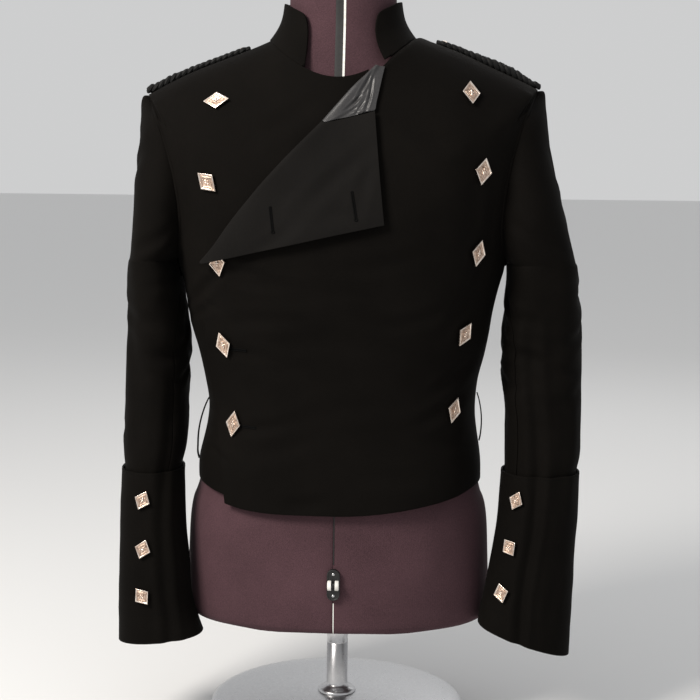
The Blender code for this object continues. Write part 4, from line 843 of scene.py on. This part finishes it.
def makeButton(name, cfg):
    # a rhombic plate with a raised rim, and a plain leaf ornament in its middle
    bpy.ops.mesh.primitive_cylinder_add(vertices=4, radius=cfg["long"], depth=0.0020, location=(0, 0, 0.0030))
    plate = bpy.context.object
    plate.scale = (1.0, cfg["short"] / cfg["long"], 1.0)
    bpy.ops.object.transform_apply(location=True, rotation=True, scale=True)
    bpy.ops.object.mode_set(mode="EDIT")
    bpy.ops.mesh.select_mode(type="FACE")
    topFace(plate)
    bpy.ops.mesh.inset(thickness=cfg["rim"], depth=0.0)
    bpy.ops.mesh.inset(thickness=0.0004, depth=-0.0009)
    bpy.ops.mesh.inset(thickness=0.0011, depth=0.0)
    bpy.ops.mesh.inset(thickness=0.0003, depth=0.0005)
    bpy.ops.mesh.inset(thickness=0.0006, depth=0.0)
    bpy.ops.mesh.inset(thickness=0.0003, depth=-0.0004)
    bpy.ops.object.mode_set(mode="OBJECT")
    plate.data.materials.append(metals["buttonMetal"])
    plate.data.materials.append(metals["buttonGround"])
    for face in plate.data.polygons:
        face.material_index = 1 if 0.0028 < face.center.z < 0.0038 and face.normal.z > 0.5 else 0
    applied(plate, "BEVEL", width=0.00022, segments=3, limit_method="ANGLE", angle_limit=math.radians(25))
    parts = [plate]
    for index in range(4):
        turn = 0.5 * math.pi * index
        reach = 0.9 if index % 2 == 0 else 0.62
        bpy.ops.mesh.primitive_uv_sphere_add(segments=12, ring_count=8, radius=1.0)
        leaf = bpy.context.object
        leaf.scale = (cfg["petal"] * 0.62 * reach, cfg["petal"] * 0.30, 0.0010)
        leaf.rotation_euler = (0.0, 0.0, turn)
        away = cfg["petal"] * reach * 0.72
        leaf.location = (math.cos(turn) * away, math.sin(turn) * away, 0.0037)
        parts.append(leaf)
    for index in range(8):
        turn = math.pi * (0.25 * index + 0.125)
        bpy.ops.mesh.primitive_ico_sphere_add(subdivisions=2, radius=0.00042)
        bead = bpy.context.object
        bead.location = (math.cos(turn) * cfg["long"] * 0.36, math.sin(turn) * cfg["short"] * 0.36, 0.0036)
        parts.append(bead)
    bpy.ops.mesh.primitive_uv_sphere_add(segments=14, ring_count=8, radius=1.0)
    boss = bpy.context.object
    boss.scale = (0.0011, 0.0011, 0.0012)
    boss.location = (0.0, 0.0, 0.0039)
    parts.append(boss)
    shank = 0.24 * cfg["long"]
    bpy.ops.mesh.primitive_cylinder_add(vertices=16, radius=shank, depth=0.0022, location=(0, 0, 0.0011))
    parts.append(bpy.context.object)
    onlySelect(plate)
    for part in parts:
        part.select_set(True)
        if part is not plate:
            part.data.materials.append(metals["buttonMetal"])
    bpy.ops.object.join()
    bpy.ops.object.transform_apply(location=True, rotation=True, scale=True)
    plate.name = name
    bpy.ops.object.shade_smooth_by_angle(angle=math.radians(35))
    return plate


def nodePoints(label):
    mesh = nodes[label].data
    points = np.empty(len(mesh.vertices) * 3)
    mesh.vertices.foreach_get("co", points)
    return np.unique(np.round(points.reshape(-1, 3), 6), axis=0)


def seatOf(label):
    # where a solid button sits: its long way, its short way and its outward way
    points = nodePoints(label)
    low, high = points.min(axis=0), points.max(axis=0)
    rim = points[np.argsort(-np.linalg.norm(points - 0.5 * (low + high), axis=1))]
    tip = rim[0]
    far = rim[np.argmax(np.linalg.norm(rim - tip, axis=1))]
    longWay = Vector(tip - far).normalized()
    centred = points - points.mean(axis=0)
    out = Vector(np.linalg.svd(centred, full_matrices=False)[2][2])
    if out.y > 0.0:
        out = -out
    out = (out - longWay * out.dot(longWay)).normalized()
    heights = points @ np.array(out)
    foot = heights.min()
    middle = 0.5 * (Vector(tip) + Vector(far))
    base = middle + out * (foot - middle.dot(out))
    frameTurn = Matrix((longWay, out.cross(longWay), out)).transposed().to_4x4()
    return Matrix.Translation(base) @ frameTurn


for kind, cfg in buttons.items():
    template = makeButton("template", cfg)
    for label in sorted(nodes):
        if label.startswith(kind + "_button"):
            mesh = template.data.copy()
            mesh.transform(seatOf(label))
            parts = label.split("_")
            piece = newPiece(parts[0] + "Button" + parts[2].capitalize() + parts[3], mesh)
            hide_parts(label)
            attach(piece, "root")
    bpy.data.objects.remove(template, do_unlink=True)
print("buttons are on")


# shoulder cords

cords = {"strand": 0.0030, "halfWidth": 0.0042, "period": 0.0200, "stations": 150}


def tube(name, points, radius, closed=False, sides=3):
    # a round strand through points, as a mesh
    data = bpy.data.curves.new(name, "CURVE")
    data.dimensions = "3D"
    line = data.splines.new("POLY")
    line.points.add(len(points) - 1)
    for spot, point in zip(line.points, points):
        spot.co = (*point, 1.0)
    line.use_cyclic_u = closed
    data.bevel_depth = radius
    data.bevel_resolution = sides
    data.use_fill_caps = not closed
    onlySelect(newPiece(name, data))
    bpy.ops.object.convert(target="MESH")
    bpy.ops.object.mode_set(mode="EDIT")
    bpy.ops.mesh.select_all(action="SELECT")
    bpy.ops.mesh.remove_doubles(threshold=0.00001)  # sews the round ends to their caps
    bpy.ops.mesh.normals_make_consistent(inside=False)
    bpy.ops.object.mode_set(mode="OBJECT")
    return bpy.context.object


def joined(name, parts):
    onlySelect(parts[0])
    for part in parts:
        part.select_set(True)
    bpy.ops.object.join()
    parts[0].name = name
    return parts[0]


def turned(name, profile, place, steps=96):
    # a turned piece: a profile of radius and height, from its top down
    mesh = bpy.data.meshes.new(name)
    links = [(index, index + 1) for index in range(len(profile) - 1)]
    mesh.from_pydata([(radius, 0.0, height) for radius, height in profile], links, [])
    piece = newPiece(name, mesh)
    applied(piece, "SCREW", steps=steps, render_steps=steps, use_merge_vertices=True, merge_threshold=0.00002)
    piece.data.transform(Matrix.Translation(place))
    return piece


for side, sign in (("right", -1), ("left", 1)):
    points = nodePoints("shoulder_cord_" + side)
    out = np.abs(points[:, 0])
    stations = np.linspace(out.min(), out.max(), 40)
    lows, highs, ridges = [], [], []
    for station in stations:
        near = points[np.abs(out - station) < 0.0034]
        lows.append(near[:, 2].min())
        highs.append(near[:, 2].max())
        ridges.append(0.5 * (near[:, 1].min() + near[:, 1].max()))
    strands = []
    for strand in range(3):
        path = []
        for index in range(cords["stations"]):
            part = index / (cords["stations"] - 1)
            x = stations[0] + 0.0015 + (stations[-1] - stations[0] - 0.003) * part
            low, high = np.interp(x, stations, lows), np.interp(x, stations, highs)
            ridge = np.interp(x, stations, ridges)
            phase = 2.0 * math.pi * (x / cords["period"] + strand / 3.0)
            taper = float(0.35 + 0.65 * ease(min(part, 1.0 - part) / 0.06))
            y = ridge + cords["halfWidth"] * taper * math.sin(phase)
            weave = max(0.5 * (high - low) - cords["strand"], 0.0008) * taper
            z = 0.5 * (low + high) + weave * math.sin(2.0 * phase)
            path.append((sign * x, y, z))
        strands.append(tube("strand", path, cords["strand"], sides=2))
    piece = joined("shoulderCord" + side.capitalize(), strands)
    dress(piece, 0.15, "cord", "cord", "shoulder_cord_" + side)
    low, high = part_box("cord_button_" + side)
    middle = [0.5 * (low[axis] + high[axis]) for axis in range(3)]
    dome = turned("cordButton" + side.capitalize(), [
        (0.0, 0.0032), (0.0014, 0.0031), (0.0028, 0.0026), (0.0031, 0.0023), (0.0040, 0.0022), (0.0048, 0.0016),
        (0.0050, 0.0008), (0.0046, 0.0), (0.0, 0.0)], (0.0, 0.0, 0.0), 40)
    lean = sign * math.atan2(highs[3] - highs[0], stations[3] - stations[0])
    dome.data.transform(Matrix.Translation((middle[0], middle[1], low[2])) @ Matrix.Rotation(-lean, 4, "Y"))
    dome.data.materials.append(metals["buttonMetal"])
    finishPiece(dome, "button_metal", "cord_button_" + side)
print("shoulder cords are on")


# sewn seams
seams = {"armhole": 0.0024, "collar": 0.0016}


def loopThrough(spots, across, up, count, closed):
    # one line through scattered seam points, in order round their middle
    places = np.array([tuple(spot) for spot in spots])
    middle = 0.5 * (places.min(axis=0) + places.max(axis=0))
    if not closed:
        middle[across], middle[up] = 0.0, 0.0
    turns = np.arctan2(places[:, up] - middle[up], places[:, across] - middle[across])
    if not closed:
        turns = np.arctan2(places[:, across], places[:, up])
    order = np.argsort(turns)
    places, turns = places[order], turns[order]
    if closed:
        wanted = np.linspace(-math.pi, math.pi, count, endpoint=False)
        turns = np.concatenate([turns - 2 * math.pi, turns, turns + 2 * math.pi])
        places = np.concatenate([places, places, places])
        spread = 0.09
    else:
        wanted = np.linspace(turns.min(), turns.max(), count)
        spread = 0.06
    line = []
    for turn in wanted:
        weight = np.exp(-((turns - turn) / spread) ** 2)
        line.append((places * weight[:, None]).sum(axis=0) / weight.sum())
    return line


for side in ("right", "left"):
    line = loopThrough(armholes[side], 1, 2, 120, True)
    piece = tube("armholeSeam" + side.capitalize(), line, seams["armhole"], closed=True, sides=3)
    dress(piece, 0.15, "wool", "wool")
piece = tube("collarSeam", loopThrough(neckSeam, 0, 1, 140, False), seams["collar"], sides=3)
dress(piece, 0.08, "wool", "wool")
print("seams are sewn")


# buttonholes and stitches

def skinOf(*pieces):
    points, faces = [], []
    for piece in pieces:
        first = len(points)
        points.extend(vertex.co.copy() for vertex in piece.data.vertices)
        faces.extend([first + corner for corner in face.vertices] for face in piece.data.polygons)
    return BVHTree.FromPolygons(points, faces)


def onFront(tree, x, z, lift):
    spot, normal, _, _ = tree.ray_cast(Vector((x, -1.0, z)), Vector((0, 1, 0)))
    return spot + normal * lift


# ends of each slit, x and height; the eyelet is at the second end
buttonholes = {
    "flapHoleOuter": {"start": (-0.0706, 0.5986), "end": (-0.0671, 0.5719), "on": facingPiece},
    "flapHoleInner": {"start": (0.0174, 0.6158), "end": (0.0225, 0.5861), "on": facingPiece},
    "frontHoleUpper": {"start": (-0.0990, 0.4392), "end": (-0.1172, 0.4400), "on": panelPieces["frontLeft"]},
    "frontHoleLower": {"start": (-0.0885, 0.3523), "end": (-0.1060, 0.3535), "on": panelPieces["frontLeft"]},
}

for name, cfg in buttonholes.items():
    tree = skinOf(cfg["on"])
    start, end = Vector(cfg["start"]), Vector(cfg["end"])
    along = (end - start).normalized()
    across = Vector((-along.y, along.x))
    outline = []
    steps = 22
    for index in range(steps):
        outline.append(start + along * ((end - start).length - 0.0020) * index / steps + across * 0.0010)
    for index in range(14):
        turn = math.radians(145 - 290 * index / 13)
        outline.append(end + along * 0.0014 * math.cos(turn) + across * 0.0017 * math.sin(turn))
    for index in range(steps):
        outline.append(start + along * ((end - start).length - 0.0020) * (1 - index / steps) - across * 0.0010)
    outline.append(start - along * 0.0006)
    edge = [onFront(tree, spot.x, spot.y, 0.0002) for spot in outline]
    bead = tube("bead", edge, 0.00062, closed=True, sides=2)
    slit = [start + (end - start) * part for part in np.linspace(0.0, 1.0, 14)]
    # the slit: a dark strand laid along the cut, painted shade where the cut opens
    cutShade = tube("cutShade", [onFront(tree, spot.x, spot.y, -0.0001) for spot in slit], 0.00055, sides=1)
    bar = [start - across * 0.0015, start, start + across * 0.0015]
    tack = tube("tack", [onFront(tree, spot.x, spot.y, 0.0003) for spot in bar], 0.0005, sides=1)
    piece = joined(name, [bead, cutShade, tack])
    dress(piece, 0.15, "thread", "cord")
print("buttonholes are worked")

# rows of stitches round the cuffs: height at the cuff's middle, rise for each metre outwards
stitchRows = {
    "hemStitchRight": {"piece": "cuffRight", "side": -1, "height": 0.1390, "slope": -0.04},
    "hemStitchLeft": {"piece": "cuffLeft", "side": 1, "height": 0.1400, "slope": -0.22},
    "topStitchRight": {"piece": "cuffRight", "side": -1, "height": 0.2925, "slope": 0.0},
    "topStitchLeft": {"piece": "cuffLeft", "side": 1, "height": 0.2955, "slope": 0.0},
}
stitch = {"length": 0.0024, "gap": 0.0011, "width": 0.00045, "lift": 0.00018}


def stitchMesh(name, spots, ways, outs):
    # short rounded dashes, each with its own way and outward direction
    points, faces = [], []
    for spot, way, out in zip(spots, ways, outs):
        over = out.cross(way).normalized()
        first = len(points)
        for along, high in ((-0.5, -0.2), (-0.28, 1.0), (0.28, 1.0), (0.5, -0.2)):
            for across in (-0.5, 0.5):
                points.append(spot + way * along * stitch["length"] + over * across * stitch["width"]
                              + out * high * stitch["lift"])
        for row in range(3):
            low = first + 2 * row
            faces.append((low, low + 1, low + 3, low + 2))
        faces.append((first, first + 6, first + 7, first + 1))
        faces.append((first, first + 2, first + 4, first + 6))
        faces.append((first + 1, first + 7, first + 5, first + 3))
    mesh = bpy.data.meshes.new(name)
    mesh.from_pydata(points, [], faces)
    shape = bmesh.new()
    shape.from_mesh(mesh)
    bmesh.ops.recalc_face_normals(shape, faces=shape.faces)
    shape.to_mesh(mesh)
    shape.free()
    piece = newPiece(name, mesh)
    return piece


for name, cfg in stitchRows.items():
    tree = skinOf(sleevePieces[cfg["piece"]])
    middle = sleeveMiddle(np.array([[0.0, 0.0, cfg["height"]]]), cfg["side"])[0]
    ring = []
    for index in range(720):
        turn = math.radians(0.5 * index)
        way = Vector((math.cos(turn), math.sin(turn), 0.0))
        z = cfg["height"] + cfg["slope"] * cfg["side"] * way.x * 0.045
        spot = tree.ray_cast(Vector((middle[0], middle[1], z)) + way * 0.2, -way)[0]
        if spot:
            ring.append((spot, way))
    spots, ways, outs = [], [], []
    run = 0.0
    for (spot, out), (later, _) in zip(ring, ring[1:]):
        run += (later - spot).length
        if run >= stitch["length"] + stitch["gap"]:
            run = 0.0
            spots.append(spot)
            ways.append((later - spot).normalized())
            outs.append(out)
    piece = stitchMesh(name, spots, ways, outs)
    dress(piece, 0.15, "thread", "cord")
print("stitches are sewn")


# the dress form and its stand

piece = clothCopy("form_body", "formBody", rounds=2, corner=50)
relaxed(piece, 2)
dress(piece, 0.12, "jersey", "jersey", "form_body")
formPiece = piece

# strips between the form's halves, painted light and shade: at the neck a dark strip of painted shade on the
# slit's inner wall and a pale strip of painted light where the slit shows the backdrop; below the hem a thin
# dark strip of painted shade in the gap and a thin pale strip of painted light lower down
rails = {
    "neckSlitShade": {"x": -0.0010, "width": 0.0088, "low": 0.700, "high": 0.853, "lift": 0.0004,
                 "of": "blackPlastic"},
    "neckSlitLight": {"x": 0.0046, "width": 0.0024, "low": 0.700, "high": 0.853, "lift": 0.0005, "of": "ivory"},
    "hipSlitShade": {"x": 0.0008, "width": 0.0011, "low": 0.202, "high": 0.300, "lift": 0.0001, "of": "blackPlastic"},
    "lowerHipSlitLight": {"x": 0.0008, "width": 0.0010, "low": 0.1215, "high": 0.158, "lift": 0.0001, "of": "ivory"},
}
tree = skinOf(formPiece)
# each strip lays painted shade or painted light over the form's face
for name, cfg in rails.items():
    rows = []
    for z in np.linspace(cfg["low"], cfg["high"], 24):
        row = []
        for across in (-0.5, -0.25, 0.0, 0.25, 0.5):
            x = cfg["x"] + across * cfg["width"]
            beside = x + math.copysign(0.003, x) if abs(x) < 0.002 else x
            depth = tree.ray_cast(Vector((beside, -1.0, z)), Vector((0, 1, 0)))[0].y
            row.append((x, depth - cfg["lift"], z))
        rows.append(row)
    count = len(rows[0])
    faces = []
    for row in range(len(rows) - 1):
        for column in range(count - 1):
            low = row * count + column
            faces.append((low, low + 1, low + count + 1, low + count))
    mesh = bpy.data.meshes.new(name)
    mesh.from_pydata([point for row in rows for point in row], [], faces)
    piece = newPiece(name, mesh)
    applied(piece, "SOLIDIFY", thickness=0.0006, offset=-1.0)
    piece.data.materials.append(metals[cfg["of"]])
    finishPiece(piece, "black_plastic" if cfg["of"] == "blackPlastic" else "dial_ivory")

piece = clothCopy("form_neck_cap", "formNeckCap", rounds=2, corner=40)
piece.data.materials.append(metals["blackPlastic"])
finishPiece(piece, "black_plastic", "form_neck_cap")

base = turned("standBase", [
    (0.0, 0.0180), (0.030, 0.0180), (0.060, 0.0177), (0.090, 0.0170), (0.120, 0.0150), (0.138, 0.0128),
    (0.145, 0.0108), (0.1490, 0.0084), (0.1500, 0.0066), (0.1500, 0.0020), (0.1496, 0.0008),
    (0.1485, 0.0001), (0.1440, 0.0),
    (0.0, 0.0)], (0, 0, 0), 128)
base.data.materials.append(metals["steel"])
finishPiece(base, "steel", "form_base")

pole = turned("standPole", [
    (0.0, 0.1197), (0.0410, 0.1197), (0.0420, 0.1190), (0.0420, 0.1162), (0.0412, 0.1156), (0.0240, 0.1128),
    (0.0165, 0.1106), (0.0135, 0.1075), (0.0125, 0.1030), (0.0125, 0.0800), (0.0128, 0.0795), (0.0128, 0.0785),
    (0.0125, 0.0780), (0.0125, 0.0290), (0.0135, 0.0262), (0.0165, 0.0236), (0.0205, 0.0220), (0.0222, 0.0204),
    (0.0225, 0.0183), (0.0, 0.0183)], (0, 0, 0), 64)
pole.data.materials.append(metals["steel"])
finishPiece(pole, "steel", "form_pole")

adjuster = {
    "x": 0.0008,
    "z": 0.1800,
    "back": -0.1171,    # the form's face, which it sits on
    "halfWidth": 0.0072,
    "halfHeight": 0.0178,
    "depth": 0.0050,
}


def ovalPlate(name, cfg, halfWidth, halfHeight, low, high):
    # a plate with round ends, from one depth to another
    bpy.ops.mesh.primitive_cylinder_add(vertices=40, radius=halfWidth, depth=high - low)
    plate = bpy.context.object
    plate.name = name
    plate.data.transform(Matrix.Rotation(math.pi / 2, 4, "X"))
    straight = halfHeight - halfWidth
    for vertex in plate.data.vertices:
        vertex.co.z += math.copysign(straight, vertex.co.z) if abs(vertex.co.z) > 1e-5 else 0.0
    plate.data.transform(Matrix.Translation((cfg["x"], cfg["back"] - 0.5 * (low + high), cfg["z"])))
    return plate


cfg = adjuster
plate = ovalPlate("adjusterHousing", cfg, cfg["halfWidth"], cfg["halfHeight"], 0.0, cfg["depth"])
onlySelect(plate)
bpy.ops.object.mode_set(mode="EDIT")
bpy.ops.mesh.select_mode(type="FACE")
bpy.ops.object.mode_set(mode="OBJECT")
front = min(plate.data.polygons, key=lambda face: face.center.y + face.normal.y)
for face in plate.data.polygons:
    face.select = face.index == front.index
bpy.ops.object.mode_set(mode="EDIT")
bpy.ops.mesh.inset(thickness=0.0012, depth=0.0)
bpy.ops.mesh.inset(thickness=0.0003, depth=-0.0006)
bpy.ops.object.mode_set(mode="OBJECT")
applied(plate, "BEVEL", width=0.0006, segments=3, limit_method="ANGLE", angle_limit=math.radians(40))
parts = [plate]
for height in (-0.0122, 0.0122):
    head = turned("screwHead", [
        (0.0, 0.0006), (0.0009, 0.0005), (0.0015, 0.0), (0.0015, -0.0006), (0.0, -0.0006)], (0, 0, 0), 20)
    head.data.transform(Matrix.Translation((cfg["x"], cfg["back"] - cfg["depth"] + 0.0004, cfg["z"] + height))
                        @ Matrix.Rotation(math.pi / 2, 4, "X"))
    head.data.materials.append(metals["steel"])
    parts.append(head)
plate.data.materials.append(metals["blackPlastic"])
housing = joined("adjusterHousing", parts)
finishPiece(housing, "black_plastic", "adjuster_housing")

drum = turned("adjusterDial", [
    (0.0, 0.0064), (0.0046, 0.0064), (0.0054, 0.0060), (0.0056, 0.0056), (0.0056, 0.0024), (0.0052, 0.0020),
    (0.0036, 0.0019), (0.0036, -0.0019), (0.0052, -0.0020), (0.0056, -0.0024), (0.0056, -0.0056),
    (0.0054, -0.0060), (0.0046, -0.0064), (0.0, -0.0064)], (0, 0, 0), 48)
drum.data.materials.append(metals["ivory"])
drum.data.materials.append(metals["blackPlastic"])
for face in drum.data.polygons:
    face.material_index = 1 if abs(face.center.z) < 0.0021 else 0
seat = Matrix.Translation((cfg["x"], cfg["back"] - 0.0071 + 0.0012, cfg["z"]))
drum.data.transform(seat @ Matrix.Rotation(math.pi / 2, 4, "Y"))
finishPiece(drum, "dial_ivory", "adjuster_dial")
print("form and stand are up")


# sizes

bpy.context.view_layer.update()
total = 0
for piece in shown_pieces():
    count = sum(len(face.vertices) - 2 for face in piece.data.polygons)
    total += count
    print(piece.name, count)
print("triangles in all", total)
